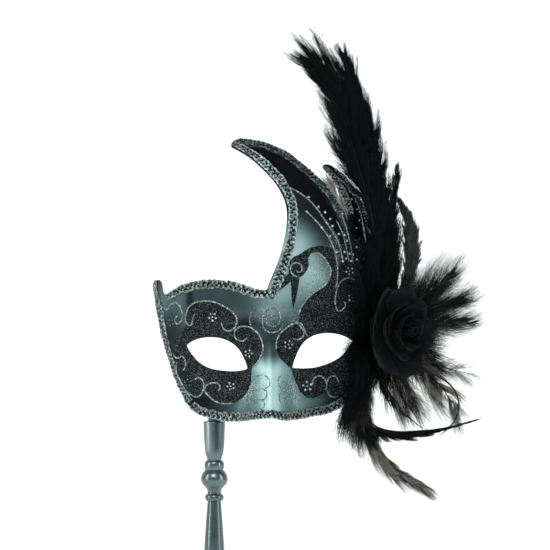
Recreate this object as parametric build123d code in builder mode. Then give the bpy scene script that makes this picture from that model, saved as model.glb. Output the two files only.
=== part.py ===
"""A venetian masquerade half mask on a turned hand stick.

Row frame, millimetres: +Z up along the stick, +X to the viewer's right, the mask looks towards -Y.
The origin is the centre of the stick's flat bottom end.  The moulded face shell carries an
asymmetric two-pointed crest, a felt lining, gimp braid round every edge, a fabric rose and a
spray of feathers on the wearer's left temple, and the stick is glued behind the other cheek.
"""
from build123d import *
import math
import os

os.makedirs("parts", exist_ok=True)

# ----------------------------------------------------------------- driving dimensions
FACE_MID_X = 39.0        # symmetry plane of the face part of the shell
EYE_Z = 237.6            # height of the eye line
FACE_Y = -13.0           # front of the shell on the symmetry plane, nose apart
WRAP_HALF = 87.0         # half width of the wrap ellipse round the face
WRAP_DEPTH = 52.0        # depth of the wrap ellipse
SHELL_T = 1.8            # moulded shell wall
LINING_T = 0.6           # felt lining
GLUE_GAP = 0.05          # glue line between laminated pieces
BRAID_T = 1.4            # gimp braid thickness
BRAID_W = 6.2            # gimp braid width on a flat part of the shell
NOSE_OUT = 20.0          # how far the nose stands out at the lower edge
CREST_LEAN = 0.0010      # backward lean of the crest, per mm of height squared
STICK_R = 7.6            # stick radius at the shoulder under the mask
STICK_SHOULDER_Z = 190.0 # top of the round part of the stick
STICK_END_R = 7.0        # plain drum at the bottom end
STICK_END_L = 21.0
TONGUE_W, TONGUE_T, TONGUE_TOP = 9.0, 5.6, 222.0
ROSE_TURN = 45.0         # the rose faces this far round to the side, degrees
ROSE_BASE = (113.0, 11.7, 254.0)
ROSE_R = 31.0            # radius of the outermost petals
PETAL_T = 0.6


# ----------------------------------------------------------------- the face surface
def front_y(x, z):
    """Depth of the shell's front face at (x, z)."""
    xm, zm = x - FACE_MID_X, z - EYE_Z
    s = min(abs(xm) / WRAP_HALF, 0.985)
    y = FACE_Y + WRAP_DEPTH * (1.0 - math.sqrt(1.0 - s * s))
    t = max(0.0, (258.0 - z) / 66.0)
    width = 7.5 + 7.5 * min(t, 1.2)
    y -= (1.0 + NOSE_OUT * t**1.15) * math.exp(-((xm / width) ** 2) * 0.85) * (1.0 / (1.0 + math.exp((z - 266.0) / 5.0)))
    side = math.exp(-((max(abs(xm) - 58.0, 0.0) / 12.0) ** 2))
    y -= 3.0 * math.exp(-(((zm - 20.0) / 9.0) ** 2)) * side
    y += 3.2 * math.exp(-(((abs(xm) - 36.0) / 19.0) ** 2) - ((zm / 12.0) ** 2))
    y += CREST_LEAN * max(z - 274.0, 0.0) ** 2
    return y


def offset_face(d):
    """The face surface moved by d along its normal, positive towards the wearer."""
    e, rows = 0.05, []
    for i in range(57):
        a = math.radians(-79.0 + 158.0 * i / 56)
        x = FACE_MID_X + WRAP_HALF * math.sin(a)
        row = []
        for j in range(53):
            z = 180.0 + (396.0 - 180.0) * j / 52
            y = front_y(x, z)
            gx = (front_y(x + e, z) - front_y(x - e, z)) / (2 * e)
            gz = (front_y(x, z + e) - front_y(x, z - e)) / (2 * e)
            n = math.sqrt(gx * gx + gz * gz + 1.0)
            row.append(Vector(x - d * gx / n, y + d / n, z - d * gz / n))
        rows.append(row)
    return Face.make_surface_from_array_of_points(rows, tol=0.02, min_deg=3, max_deg=5)


def behind(d):
    """Everything on the wearer's side of the face surface moved by d."""
    return Solid.extrude(offset_face(d), Vector(0, 160, 0))


# ----------------------------------------------------------------- outline of the shell
EAR_LEFT = [(-43.0, 282.4), (-43.0, 285.6), (-41.8, 288.0), (-39.8, 288.8)]
EAR_INNER = [(-39.8, 288.8), (-37.8, 287.4), (-36.9, 284.1), (-36.2, 280.3), (-34.2, 278.2)]
BROW = [(-34.2, 278.2), (-30.4, 280.6), (-25.4, 283.7), (-18.4, 286.3), (-12.8, 287.8), (-6.3, 288.7),
        (1.7, 288.7), (11.7, 287.9), (21.8, 285.2), (29.8, 282.4), (36.8, 282.0)]
CREST_FRONT = [(36.8, 282.0), (39.3, 288.8), (44.3, 300.9), (48.4, 314.8), (50.6, 328.7), (50.1, 340.4),
               (46.7, 349.6), (40.9, 358.4), (33.9, 365.8), (26.9, 372.3), (19.9, 377.2), (12.1, 381.5)]
CREST_TIP = [(12.1, 381.5), (12.0, 384.3), (14.2, 386.6), (17.3, 387.4)]
CREST_BACK = [(17.3, 387.4), (22.3, 387.0), (31.6, 385.6), (40.9, 382.7), (50.2, 378.1), (59.4, 371.6),
              (68.7, 363.6), (76.8, 356.0), (82.7, 348.5), (87.3, 340.4), (90.8, 335.2), (93.7, 330.4)]
SMALL_FRONT = [(93.7, 330.4), (91.9, 339.5), (88.4, 348.1), (84.6, 355.2), (80.3, 361.6), (75.6, 367.2)]
SMALL_BACK = [(75.6, 367.2), (76.4, 369.2), (78.9, 369.8), (85.2, 366.8), (92.2, 360.8), (98.5, 352.5),
              (103.7, 342.6), (107.6, 330.7), (110.7, 316.7), (113.5, 302.7), (116.7, 288.7)]
RIGHT_SIDE = [(116.7, 288.7), (118.9, 274.7), (118.4, 257.2), (115.3, 244.6), (110.7, 232.0), (105.5, 220.1),
              (98.8, 209.6), (91.8, 202.2)]
BOTTOM = [(91.8, 202.2), (82.0, 196.9), (71.9, 194.5), (62.1, 192.8), (51.9, 191.7), (45.6, 192.6), (38.1, 194.1),
          (30.2, 192.8), (21.8, 191.4), (11.7, 190.8), (1.9, 191.9), (-6.3, 193.5), (-13.4, 196.7), (-19.4, 202.6)]
LEFT_SIDE = [(-19.4, 202.6), (-24.4, 212.4), (-28.4, 222.2), (-32.4, 234.8), (-36.3, 247.4), (-39.1, 259.3),
             (-41.5, 271.9), (-43.0, 282.4)]
EYE_L = ([(-19.4, 242.7), (-15.4, 245.9), (-10.4, 247.9), (-4.3, 248.8), (1.7, 248.7), (7.7, 247.3), (13.8, 244.0),
          (18.8, 238.4), (21.8, 232.4), (23.3, 227.2)],
         [(23.3, 227.2), (18.0, 225.6), (11.8, 225.2), (3.7, 225.8), (-4.3, 227.6), (-11.3, 231.8), (-15.9, 236.9),
          (-19.4, 242.7)])
EYE_R = ([(54.6, 227.8), (56.1, 233.4), (58.9, 240.1), (63.0, 245.9), (68.0, 249.5), (75.0, 251.5), (82.0, 251.7),
          (88.1, 250.5), (92.5, 248.7), (96.7, 246.0)],
         [(96.7, 246.0), (93.2, 240.4), (88.7, 235.5), (83.1, 231.9), (76.0, 229.2), (70.0, 227.7), (61.9, 227.2),
          (54.6, 227.8)])
SHELL_LOOP = [EAR_LEFT, EAR_INNER, BROW, CREST_FRONT, CREST_TIP, CREST_BACK, SMALL_FRONT, SMALL_BACK, RIGHT_SIDE,
              BOTTOM, LEFT_SIDE]


def moved_in(pts, near, far):
    """The spline's points moved sideways to its left by near and by far, each one number or one per point."""
    path = Edge.make_spline([Vector(*p) for p in pts])
    a, b, n = [], [], 4 * (len(pts) - 1)
    for i in range(n + 1):
        u = i / n
        p, t = path @ u, path % u
        side = Vector(-t.Y, t.X)
        k = u * (len(pts) - 1)
        w = []
        for v in (near, far):
            if isinstance(v, (int, float)):
                w.append(v)
            else:
                q = u * (len(v) - 1)
                j = min(int(q), len(v) - 2)
                w.append(v[j] + (v[j + 1] - v[j]) * (q - j))
        a.append((p.X + side.X * w[0], p.Y + side.Y * w[0]))
        b.append((p.X + side.X * w[1], p.Y + side.Y * w[1]))
    return a, b


front_0 = behind(0.0)
shell_back = behind(SHELL_T)
lining_front = behind(SHELL_T + GLUE_GAP)
lining_back = behind(SHELL_T + GLUE_GAP + LINING_T)
braid_back = behind(-GLUE_GAP)
braid_front = behind(-GLUE_GAP - BRAID_T)
made = []


def finish(builder, name):
    """Names a finished piece and writes it."""
    builder.part.label = name
    export_step(builder.part, f"parts/{name}.step")
    made.append((name, builder.part))


# ----------------------------------------------------------------- shell and lining
with BuildPart() as mask_shell:
    with BuildSketch(Plane.XZ):
        with BuildLine():
            for pts in SHELL_LOOP:
                Spline(*pts)
        make_face()
        with BuildLine():
            for pts in EYE_L:
                Spline(*pts)
        make_face(mode=Mode.SUBTRACT)
        with BuildLine():
            for pts in EYE_R:
                Spline(*pts)
        make_face(mode=Mode.SUBTRACT)
    extrude(amount=150, both=True)
    add(front_0, mode=Mode.INTERSECT)
    add(shell_back, mode=Mode.SUBTRACT)
finish(mask_shell, "mask_shell")

# The lining is the same outline cut back 2 mm from the edge and the eye holes, stopping below the crest.
with BuildPart() as felt_lining:
    with BuildSketch(Plane.XZ) as lining_cut:
        with BuildLine():
            Spline((-37.5, 276.5), (-30.0, 278.0), (-18.0, 282.6), (-4.0, 285.4), (12.0, 284.6), (24.0, 281.2),
                   (36.0, 279.2), (54.0, 280.0), (80.0, 282.0), (100.0, 282.5), (112.5, 281.0))
            Spline((112.5, 281.0), (115.6, 272.0), (115.3, 257.8), (112.2, 245.8), (107.8, 233.4), (102.8, 221.8),
                   (96.6, 212.0), (89.8, 205.0))
            Spline((89.8, 205.0), (81.0, 200.2), (71.5, 197.8), (61.8, 196.0), (51.9, 195.0), (38.1, 197.3),
                   (21.8, 194.8), (11.7, 194.2), (2.2, 195.1), (-5.2, 196.8), (-11.4, 199.6), (-16.8, 204.8))
            Spline((-16.8, 204.8), (-21.7, 213.9), (-25.6, 223.4), (-29.6, 235.9), (-33.5, 248.4), (-36.0, 260.0),
                   (-37.5, 276.5))
        make_face()
        with BuildLine():
            Spline((-22.4, 243.2), (-17.0, 248.2), (-4.6, 251.8), (8.6, 250.3), (21.0, 240.4), (26.4, 225.4))
            Spline((26.4, 225.4), (12.0, 222.4), (-5.2, 224.6), (-18.0, 235.4), (-22.4, 243.2))
        make_face(mode=Mode.SUBTRACT)
        with BuildLine():
            Spline((51.6, 225.8), (56.2, 241.4), (66.2, 252.2), (82.0, 254.8), (94.4, 251.2), (100.0, 246.6))
            Spline((100.0, 246.6), (91.2, 233.6), (77.0, 226.2), (62.0, 224.3), (51.6, 225.8))
        make_face(mode=Mode.SUBTRACT)
    extrude(amount=150, both=True)
    add(lining_front, mode=Mode.INTERSECT)
    add(lining_back, mode=Mode.SUBTRACT)
finish(felt_lining, "felt_lining")


# ----------------------------------------------------------------- gimp braid, one length per edge
def braid(name, pts, near, far, start=0, stop=None):
    """One glued length of braid: a band of the face surface, its own thickness in front of the shell."""
    a, b = moved_in(pts, near, far)
    stop = len(a) if stop is None else stop
    a, b = a[start:stop], b[start:stop]
    with BuildPart() as length:
        with BuildSketch(Plane.XZ):
            with BuildLine():
                Spline(*a)
                Line(a[-1], b[-1])
                Spline(*b[::-1])
                Line(b[0], a[0])
            make_face()
        extrude(amount=150, both=True)
        add(braid_front, mode=Mode.INTERSECT)
        add(braid_back, mode=Mode.SUBTRACT)
    finish(length, name)


# The outline runs clockwise as seen from the front, so the shell lies to the right of each edge.
TEMPLE = LEFT_SIDE + EAR_LEFT[1:]
braid("braid_temple", TEMPLE, 0.2, [-5.0, -4.2, -3.3, -3.0, -3.0, -3.1, -3.4, -3.9, -4.0, -3.2, -2.2, -1.8], 1)
braid("braid_brow", BROW, 0.3, [-4.2, -5.2, -5.9, -BRAID_W, -BRAID_W, -BRAID_W, -BRAID_W, -5.6], 2, -2)
braid("braid_crest_front", CREST_FRONT, -1.3, [-8.4, -8.2, -7.9, -7.6, -7.4, -7.2, -6.9, -6.2, -4.6], 1)
braid("braid_crest_back", CREST_BACK, 0.3, [-2.6, -3.8, -4.3, -4.5, -4.5, -4.4, -4.2, -4.0], 0, -3)
braid("braid_small_crest_front", SMALL_FRONT, 0.3, [-3.9, -4.6, -4.8, -4.2, -2.6], 3)
braid("braid_small_crest_back", SMALL_BACK[3:], 0.2, [-2.0, -2.6, -2.8, -2.8, -2.8, -2.8])
braid("braid_far_side", RIGHT_SIDE, 0.2, [-2.8, -2.9, -3.0, -3.4, -4.2, -5.2], 1, -1)
braid("braid_lower", BOTTOM, 0.4, [-5.4, -5.8, -5.8, -5.8, -5.8, -5.8, -5.6, -5.0], 3, -3)

# ----------------------------------------------------------------- turned stick, glue pad and patch
STICK_PROFILE_TOP = [(STICK_END_R + 1.6, 25.5), (STICK_END_R + 1.0, 28.6), (5.0, 31.6), (4.8, 33.4)]
CHEEK_SLOPE = 17.5       # the cheek turns back by this much where the stick is glued, degrees
with BuildPart() as hand_stick:
    with BuildSketch(Plane.XZ):
        with BuildLine():
            Polyline((0, 0), (STICK_END_R - 1.0, 0))
            RadiusArc((STICK_END_R - 1.0, 0), (STICK_END_R, 1.0), -1.0)
            Line((STICK_END_R, 1.0), (STICK_END_R, STICK_END_L))
            Line((STICK_END_R, STICK_END_L), (STICK_END_R - 1.0, STICK_END_L + 1.2))
            Line((STICK_END_R - 1.0, STICK_END_L + 1.2), (8.2, STICK_END_L + 2.4))
            Spline((8.2, STICK_END_L + 2.4), (8.7, STICK_END_L + 4.2), (8.2, STICK_END_L + 6.0), (5.4, STICK_END_L + 9.4),
                   (4.9, STICK_END_L + 12.0))
            Spline((4.9, STICK_END_L + 12.0), (6.6, STICK_END_L + 13.0), (6.9, STICK_END_L + 14.4), (6.6, STICK_END_L + 15.8),
                   (5.0, STICK_END_L + 16.8))
            Spline((5.0, STICK_END_L + 16.8), (5.6, 48.0), (6.9, 66.0), (7.5, 84.0), (6.9, 104.0), (5.6, 122.0),
                   (4.7, 134.0))
            Spline((4.7, 134.0), (6.2, 135.0), (6.6, 136.6), (6.2, 138.2), (4.9, 139.2))
            Spline((4.9, 139.2), (4.8, 141.2), (6.2, 143.6), (8.4, 146.0), (9.4, 149.4), (8.9, 152.2), (7.6, 154.6),
                   (6.3, 156.0))
            Spline((6.3, 156.0), (6.8, 157.6), (6.9, 159.4), (6.5, 161.4), (4.9, 162.9))
            Spline((4.9, 162.9), (5.3, 164.6), (6.1, 166.8), (6.7, 170.6), (7.1, 176.0), (7.4, 183.0),
                   (STICK_R, STICK_SHOULDER_Z - 0.8))
            RadiusArc((STICK_R, STICK_SHOULDER_Z - 0.8), (STICK_R - 0.8, STICK_SHOULDER_Z), -0.8)
            Line((STICK_R - 0.8, STICK_SHOULDER_Z), (0, STICK_SHOULDER_Z))
            Line((0, STICK_SHOULDER_Z), (0, 0))
        make_face()
    revolve(axis=Axis.Z)
    tongue_plane = Plane(origin=(0, 0, STICK_SHOULDER_Z - 2.0), x_dir=(math.cos(math.radians(CHEEK_SLOPE)) , -math.sin(math.radians(CHEEK_SLOPE)), 0), z_dir=(0, 0, 1))
    with BuildSketch(tongue_plane):
        RectangleRounded(TONGUE_W, TONGUE_T, 1.4)
    extrude(amount=TONGUE_TOP - STICK_SHOULDER_Z + 2.0)
    fillet(hand_stick.edges().group_by(Axis.Z)[-1], 1.2)
finish(hand_stick, "hand_stick")

# Hot-melt bed between the stick's flat tongue and the lining, and the felt patch glued over the tongue.
turned = tongue_plane.x_dir
back_dir = Vector(math.sin(math.radians(CHEEK_SLOPE)), math.cos(math.radians(CHEEK_SLOPE)), 0)
with BuildPart() as glue_bed:
    with BuildSketch(Plane(origin=(0, 0, 197.5), x_dir=turned, z_dir=(0, 0, 1))):
        with Locations((0, -TONGUE_T / 2 - 5.05)):
            Rectangle(12.0, 10.0)
    extrude(amount=23.0)
    add(behind(SHELL_T + 2 * GLUE_GAP + LINING_T), mode=Mode.INTERSECT)
finish(glue_bed, "glue_bed")

h = TONGUE_T / 2
with BuildPart() as stick_patch:
    with BuildSketch(Plane(origin=(0, 0, 199.0), x_dir=turned, z_dir=(0, 0, 1))):
        with BuildLine():
            Polyline((-12.0, -h - 2.0), (-6.4, -h + 0.2), (-5.6, h + 0.05), (5.6, h + 0.05), (6.4, -h + 0.2), (12.0, -h - 2.0),
                     (12.0, -h - 1.2), (7.2, -h + 1.0), (6.4, h + 0.85), (-6.4, h + 0.85), (-7.2, -h + 1.0),
                     (-12.0, -h - 1.2), (-12.0, -h - 2.0))
        make_face()
    extrude(amount=20.0)
    add(behind(SHELL_T + 2 * GLUE_GAP + LINING_T), mode=Mode.INTERSECT)
finish(stick_patch, "stick_patch")

# ----------------------------------------------------------------- rose
c, s = math.cos(math.radians(ROSE_TURN)), math.sin(math.radians(ROSE_TURN))
rose_out = Vector(s, -c, 0)
rose_side = Vector(c, s, 0)
rose_at = Vector(*ROSE_BASE)
rose_axis = Axis(rose_at, rose_out)


def rose_level(height):
    """A plane square to the rose's axis, height out from the shell."""
    return Plane(origin=rose_at + rose_out * height, x_dir=rose_side, z_dir=rose_out)


PAD_TOP, DISC_H = 2.9, 9.6
inner_line, outer_line = moved_in(RIGHT_SIDE, 6.0, [-3.0, -3.1, -3.2, -3.6, -4.4, -5.4])
with BuildPart() as braid_room:
    with BuildSketch(Plane.XZ):
        with BuildLine():
            Spline(*inner_line)
            Line(inner_line[-1], outer_line[-1])
            Spline(*outer_line[::-1])
            Line(outer_line[0], inner_line[0])
        make_face()
    extrude(amount=150, both=True)
    add(behind(-2 * GLUE_GAP - BRAID_T), mode=Mode.INTERSECT)

# The pad fills from the shell's curved front up to a flat face, and is cut away over the braid at the edge.
with BuildPart() as spray_pad:
    with BuildSketch(rose_level(-12.0)):
        with Locations((-3.5, 0)):
            Ellipse(11.5, 17.0)
    extrude(amount=PAD_TOP + 12.0)
    add(behind(-GLUE_GAP), mode=Mode.SUBTRACT)
    add(braid_room.part, mode=Mode.SUBTRACT)
finish(spray_pad, "spray_pad")

# Hot-melt core that ties the pad, the feather roots and the rose's disc together.
with BuildPart() as spray_glue:
    with BuildSketch(rose_level(PAD_TOP + GLUE_GAP)):
        Circle(7.6)
    extrude(amount=DISC_H - PAD_TOP - 2 * GLUE_GAP)
finish(spray_glue, "spray_glue")

with BuildPart() as rose_disc:
    with BuildSketch(rose_level(DISC_H)):
        Circle(15.0)
    extrude(amount=1.2)
finish(rose_disc, "rose_disc")

BUD_H = DISC_H + 1.3
with BuildPart() as rose_bud:
    with BuildSketch(Plane(origin=rose_at, x_dir=rose_side, z_dir=rose_side.cross(rose_out))):
        with BuildLine():
            Polyline((0, BUD_H), (2.2, BUD_H), (2.2, BUD_H + 12.6))
            Spline((2.2, BUD_H + 12.6), (4.0, BUD_H + 15.6), (5.4, BUD_H + 18.6), (5.6, BUD_H + 23.0), (3.8, BUD_H + 27.4),
                   (0, BUD_H + 28.4))
            Line((0, BUD_H + 28.4), (0, BUD_H))
        make_face()
    revolve(axis=rose_axis)
finish(rose_bud, "rose_bud")


def petal(turn, arc, radius, base, rim, corner):
    """One cupped petal turned about the rose's axis, its two rim corners rounded."""
    a = math.radians(turn)
    radial = rose_side * math.cos(a) + Vector(0, 0, 1) * math.sin(a)

    def cup(grow):
        pts = []
        for i in range(9):
            t = i / 8 * math.pi / 2
            pts.append((2.3 + (radius + grow - 2.3) * math.sin(t), BUD_H + base - grow + (rim - base + grow) * (1 - math.cos(t))))
        return pts
    inner, outer = cup(0.0), cup(PETAL_T)
    with BuildPart() as leaf:
        with BuildSketch(Plane(origin=rose_at, x_dir=radial, z_dir=radial.cross(rose_out))):
            with BuildLine():
                Spline(*inner)
                Line(inner[-1], outer[-1])
                Spline(*outer[::-1])
                Line(outer[0], inner[0])
            make_face()
        revolve(axis=rose_axis, revolution_arc=arc)
        for reach in (1.0, 0.8, 0.6, 0.45, 0.3):
            corners = leaf.edges().filter_by(lambda e: e.length < 1.2).sort_by(Axis(rose_at, rose_out))[-2:]
            try:
                fillet(corners, corner * reach)
                break
            except ValueError:
                continue
    return leaf.part


def petals(name, ring):
    """A ring of petals made as one piece of the rose."""
    with BuildPart() as group:
        for entry in ring:
            add(petal(*entry))
    finish(group, name)


# turn, arc, radius, base height, rim height, corner radius
petals("rose_inner_petals", [(10, 150, 8.0, 12.4, 26.5, 2.5), (130, 150, 10.4, 11.4, 26.0, 3.0), (250, 150, 12.8, 10.4, 25.0, 3.0)])
petals("rose_middle_petals", [(40, 125, 15.2, 9.4, 24.0, 3.5), (130, 125, 17.6, 8.4, 22.8, 3.5), (220, 125, 20.0, 7.4, 21.5, 3.5),
                              (310, 125, 22.2, 6.4, 20.0, 3.5)])
petals("rose_outer_petals", [(0, 100, 24.4, 5.4, 18.6, 4.0), (72, 100, 26.2, 4.4, 17.2, 4.0), (144, 100, 27.8, 3.4, 15.6, 4.0),
                             (216, 100, 29.4, 2.4, 14.0, 4.0), (288, 100, ROSE_R, 1.4, 12.4, 4.0)])


# ----------------------------------------------------------------- leaves and feathers
def probe(solid):
    """True when a thin slab cut from the solid's middle has a sensible volume."""
    box = solid.bounding_box()
    slab = Solid.make_box(400, 400, 4).moved(Location((-150, -200, (box.min.Z + box.max.Z) / 2 - 2)))
    cut = solid & slab
    return cut is not None and 0 < sum(c.volume for c in cut.solids()) < solid.volume


def blade(name, pts, widths, face, thick=0.55):
    """A feather or leaf as a closed lens-section blade lofted along its rib.
    widths are half widths, evenly spread from root to tip; face is the way its broad side looks."""
    rib = Edge.make_spline([Vector(*p) for p in pts])
    look = Vector(*face).normalized()
    n = len(widths) - 1
    for plain in (False, True):
        with BuildPart() as piece:
            for i, w in enumerate(widths):
                u = i / n
                t = (rib % u).normalized()
                across = look.cross(t).normalized()
                with BuildSketch(Plane(origin=rib @ u, x_dir=across, z_dir=t)):
                    Ellipse(w, min(thick * (1.35 - 0.75 * u), w * 0.9))
            loft(ruled=plain)
        if piece.part.is_valid and len(piece.edges()) < 12 and probe(piece.part):
            break
    finish(piece, name)


def near_rose(height, radius, turn):
    """A feather's root between the felt pad and the rose's disc, given about the rose's axis."""
    a = math.radians(turn)
    p = rose_at + rose_out * height + rose_side * (radius * math.cos(a)) + Vector(0, 0, radius * math.sin(a))
    return (p.X, p.Y, p.Z)


FRONT = (0.3, -0.95, 0.0)
# name, rib points from root to tip, half widths, the way the broad side looks
BLADES = [
    ("plume_tall_front", [near_rose(6.0, 9, 93), (117.0, 4.2, 292.0), (112.0, 1.5, 330.0), (104.0, 1.0, 366.0), (92.5, 3.5, 400.0), (77.0, 7.0, 427.0), (58.0, 12.0, 446.0)],
     [0.9, 4, 8, 11, 12, 11, 8.5, 5, 1.2], FRONT),
    ("plume_tall_right", [near_rose(3.9, 9, 80), (122.4, 10.2, 300.0), (119.5, 12.0, 340.0), (112.0, 12.5, 379.0), (103.0, 14.0, 409.0), (95.0, 16.5, 436.0), (90.0, 19.0, 452.0)],
     [0.9, 4, 8, 11, 11, 9, 6.5, 4, 1.2], (0.25, -0.97, 0.0)),
    ("plume_tall_left", [near_rose(8.0, 9, 112), (108.4, -1.8, 298.0), (102.0, -4.8, 334.0), (94.6, -5.2, 362.0), (86.5, -4.0, 392.0), (77.0, -1.0, 418.0), (66.0, 3.5, 438.0)],
     [0.9, 3.5, 7, 8.5, 8.5, 7.5, 6, 3.5, 1.2], (0.2, -0.98, 0.0)),
    ("plume_short_upper", [near_rose(7.6, 9, 64), (128.2, 16.5, 292.0), (127.4, 20.5, 328.0), (129.6, 22.0, 371.0)],
     [0.9, 4, 6.5, 6.0, 4.5, 1.2], FRONT),
    ("plume_side_slim", [near_rose(4.2, 9, 52), (133.5, 20.0, 282.0), (142.0, 25.0, 306.0), (141.5, 29.0, 328.0), (132.0, 31.0, 347.5)],
     [0.9, 3, 5.5, 5.0, 3.5, 1.2], (0.1, -0.99, 0.0)),
    ("hackle_fan_upper", [near_rose(7.6, 9, 38), (136.0, 20.0, 271.0), (154.0, 27.0, 288.0), (178.0, 30.0, 303.5)],
     [0.8, 4, 8, 9, 6, 1.2], (0.2, -0.98, 0.0)),
    ("hackle_fan_middle", [near_rose(5.8, 9, 20), (136.0, 23.5, 261.0), (158.0, 30.0, 274.0), (184.0, 33.0, 276.0)],
     [0.8, 4, 7, 7.5, 5, 1.2], (0.2, -0.98, 0.1)),
    ("hackle_fan_lower", [near_rose(4.0, 9, 2), (137.0, 26.0, 252.0), (158.0, 33.0, 258.0), (188.0, 36.0, 256.0)],
     [0.8, 4, 7, 7.5, 5, 1.2], (0.2, -0.98, -0.1)),
    ("hackle_tuft_side", [near_rose(5.6, 9, -8), (136.0, 21.5, 246.0), (147.0, 22.0, 241.5), (154.0, 21.5, 232.0)],
     [0.8, 3, 4.5, 4, 1.2], (0.2, -0.98, -0.1)),
    ("fluff_long_side", [near_rose(7.0, 9, -27), (134.0, 19.2, 237.5), (158.0, 29.0, 226.5), (187.0, 32.0, 217.0)],
     [0.8, 3.2, 6.8, 7, 4, 1.2], (0.1, -0.99, 0.1)),
    ("fluff_broad_low", [near_rose(3.9, 9, -43), (131.0, 18.6, 228.0), (152.0, 17.0, 213.0), (181.0, 17.0, 190.0)],
     [0.8, 3.2, 8.5, 9.5, 6, 1.2], (0.05, -0.99, 0.1)),
    ("fluff_centre_low", [near_rose(7.4, 9, -55), (122.0, 9.6, 229.0), (131.0, 9.5, 209.0), (139.0, 11.0, 194.5)],
     [0.8, 4, 6.5, 6, 1.2], (0.1, -0.99, 0.0)),
    ("biot_arc_inner", [near_rose(5.6, 9, -68), (116.0, 3.8, 226.0), (126.0, 3.0, 203.0), (146.0, 4.0, 184.5)],
     [0.8, 1.8, 2.4, 2.0, 0.9], (0.1, -0.99, 0.0)),
    ("biot_arc_outer", [near_rose(7.5, 9, -42), (132.0, 13.5, 231.5), (158.0, 12.0, 220.5), (172.5, 12.0, 205.0), (169.0, 12.5, 189.0), (158.5, 13.0, 178.5)],
     [0.8, 1.6, 2.0, 2.2, 1.9, 0.9], (0.0, -1.0, 0.0)),
    ("feather_long_curl", [near_rose(4.0, 9, -92), (107.5, 1.2, 226.0), (102.0, -3.5, 203.0), (112.0, -5.5, 186.0), (132.8, -4.0, 179.6), (161.5, 2.0, 184.6), (188.8, 10.0, 191.4)],
     [0.8, 1.4, 2.0, 3.2, 3.6, 3.6, 2.8, 1.0], (0.1, -0.99, 0.1)),
    ("plume_droop_front", [near_rose(8.4, 9, -112), (105.0, -7.5, 231.0), (100.8, -13.0, 212.0), (102.0, -13.5, 191.0), (108.5, -11.0, 178.0), (116.0, -8.0, 169.0)],
     [0.9, 4.5, 7.5, 8, 7.0, 4.5, 1.2], (0.1, -0.99, 0.0)),
    ("plume_droop_tail", [near_rose(6.6, 9, -97), (106.0, -3.8, 226.0), (103.0, -7.5, 204.0), (107.0, -7.0, 182.0), (121.0, -5.0, 161.0), (140.0, -5.5, 147.5), (153.0, -6.0, 139.0)],
     [0.8, 1.4, 1.8, 2.4, 3.8, 4.2, 4.0, 1.0], (0.1, -0.99, 0.1)),
    ("hackle_cheek_front", [near_rose(8.2, 9, -135), (100.5, -9.4, 243.0), (95.2, -15.0, 227.0), (92.4, -18.5, 208.0)],
     [0.8, 4.5, 7.0, 5.5, 1.2], (0.15, -0.98, 0.0)),
    ("hackle_brow_side", [near_rose(8.2, 9, 135), (104.6, -7.0, 279.0), (101.4, -9.6, 296.0), (100.6, -10.6, 315.0)],
     [0.8, 4.0, 6.0, 4.5, 1.2], (0.2, -0.98, 0.0)),
    ("hackle_behind_crest", [(102.0, 7.6, 296.0), (97.5, 8.4, 318.0), (90.0, 9.2, 338.0), (80.0, 10.4, 357.0)],
     [1.2, 5.0, 6.0, 4.5, 1.2], (0.5, -0.86, -0.1)),
    ("leaf_upper", [near_rose(8.4, 9, 160), (102.5, -9.8, 270.0), (100.4, -14.0, 281.0), (101.0, -16.5, 291.0)],
     [0.9, 4.2, 5.0, 1.0], (0.3, -0.94, 0.1)),
]
for entry in BLADES:
    blade(*entry)

if __name__ == "__main__":
    lo = [min(getattr(p.bounding_box().min, k) for _, p in made) for k in "XYZ"]
    hi = [max(getattr(p.bounding_box().max, k) for _, p in made) for k in "XYZ"]
    print(len(made), "pieces, box", [round(v, 1) for v in lo], [round(v, 1) for v in hi])
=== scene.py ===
import math
import bpy
import numpy as np
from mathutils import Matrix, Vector
from mathutils.geometry import delaunay_2d_cdt


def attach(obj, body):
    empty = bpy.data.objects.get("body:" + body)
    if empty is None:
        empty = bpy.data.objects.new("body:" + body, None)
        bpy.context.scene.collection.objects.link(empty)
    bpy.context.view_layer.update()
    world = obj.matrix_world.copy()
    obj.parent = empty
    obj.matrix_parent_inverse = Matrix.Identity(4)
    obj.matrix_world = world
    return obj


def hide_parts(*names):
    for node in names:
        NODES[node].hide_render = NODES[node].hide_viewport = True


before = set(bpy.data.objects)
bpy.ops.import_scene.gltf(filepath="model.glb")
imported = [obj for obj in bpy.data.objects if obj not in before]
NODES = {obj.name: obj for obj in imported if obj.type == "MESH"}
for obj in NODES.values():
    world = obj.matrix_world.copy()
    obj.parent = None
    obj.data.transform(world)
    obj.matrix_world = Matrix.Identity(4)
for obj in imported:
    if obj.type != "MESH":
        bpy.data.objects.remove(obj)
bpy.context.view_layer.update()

rng = np.random.default_rng(20)
scene = bpy.context.scene


# ------------------------------------------------------------------ camera
cam_data = bpy.data.cameras.new("view_camera")
cam = bpy.data.objects.new("view_camera", cam_data)
scene.collection.objects.link(cam)
cam.location = (0.0425, -1.6, 0.2922)
cam.rotation_euler = (math.radians(90), 0, 0)
cam_data.sensor_width = 36.0
cam_data.lens = 36.0 * 1.6 / 0.385
cam_data.clip_start, cam_data.clip_end = 0.01, 50.0
scene.camera = cam


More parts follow.
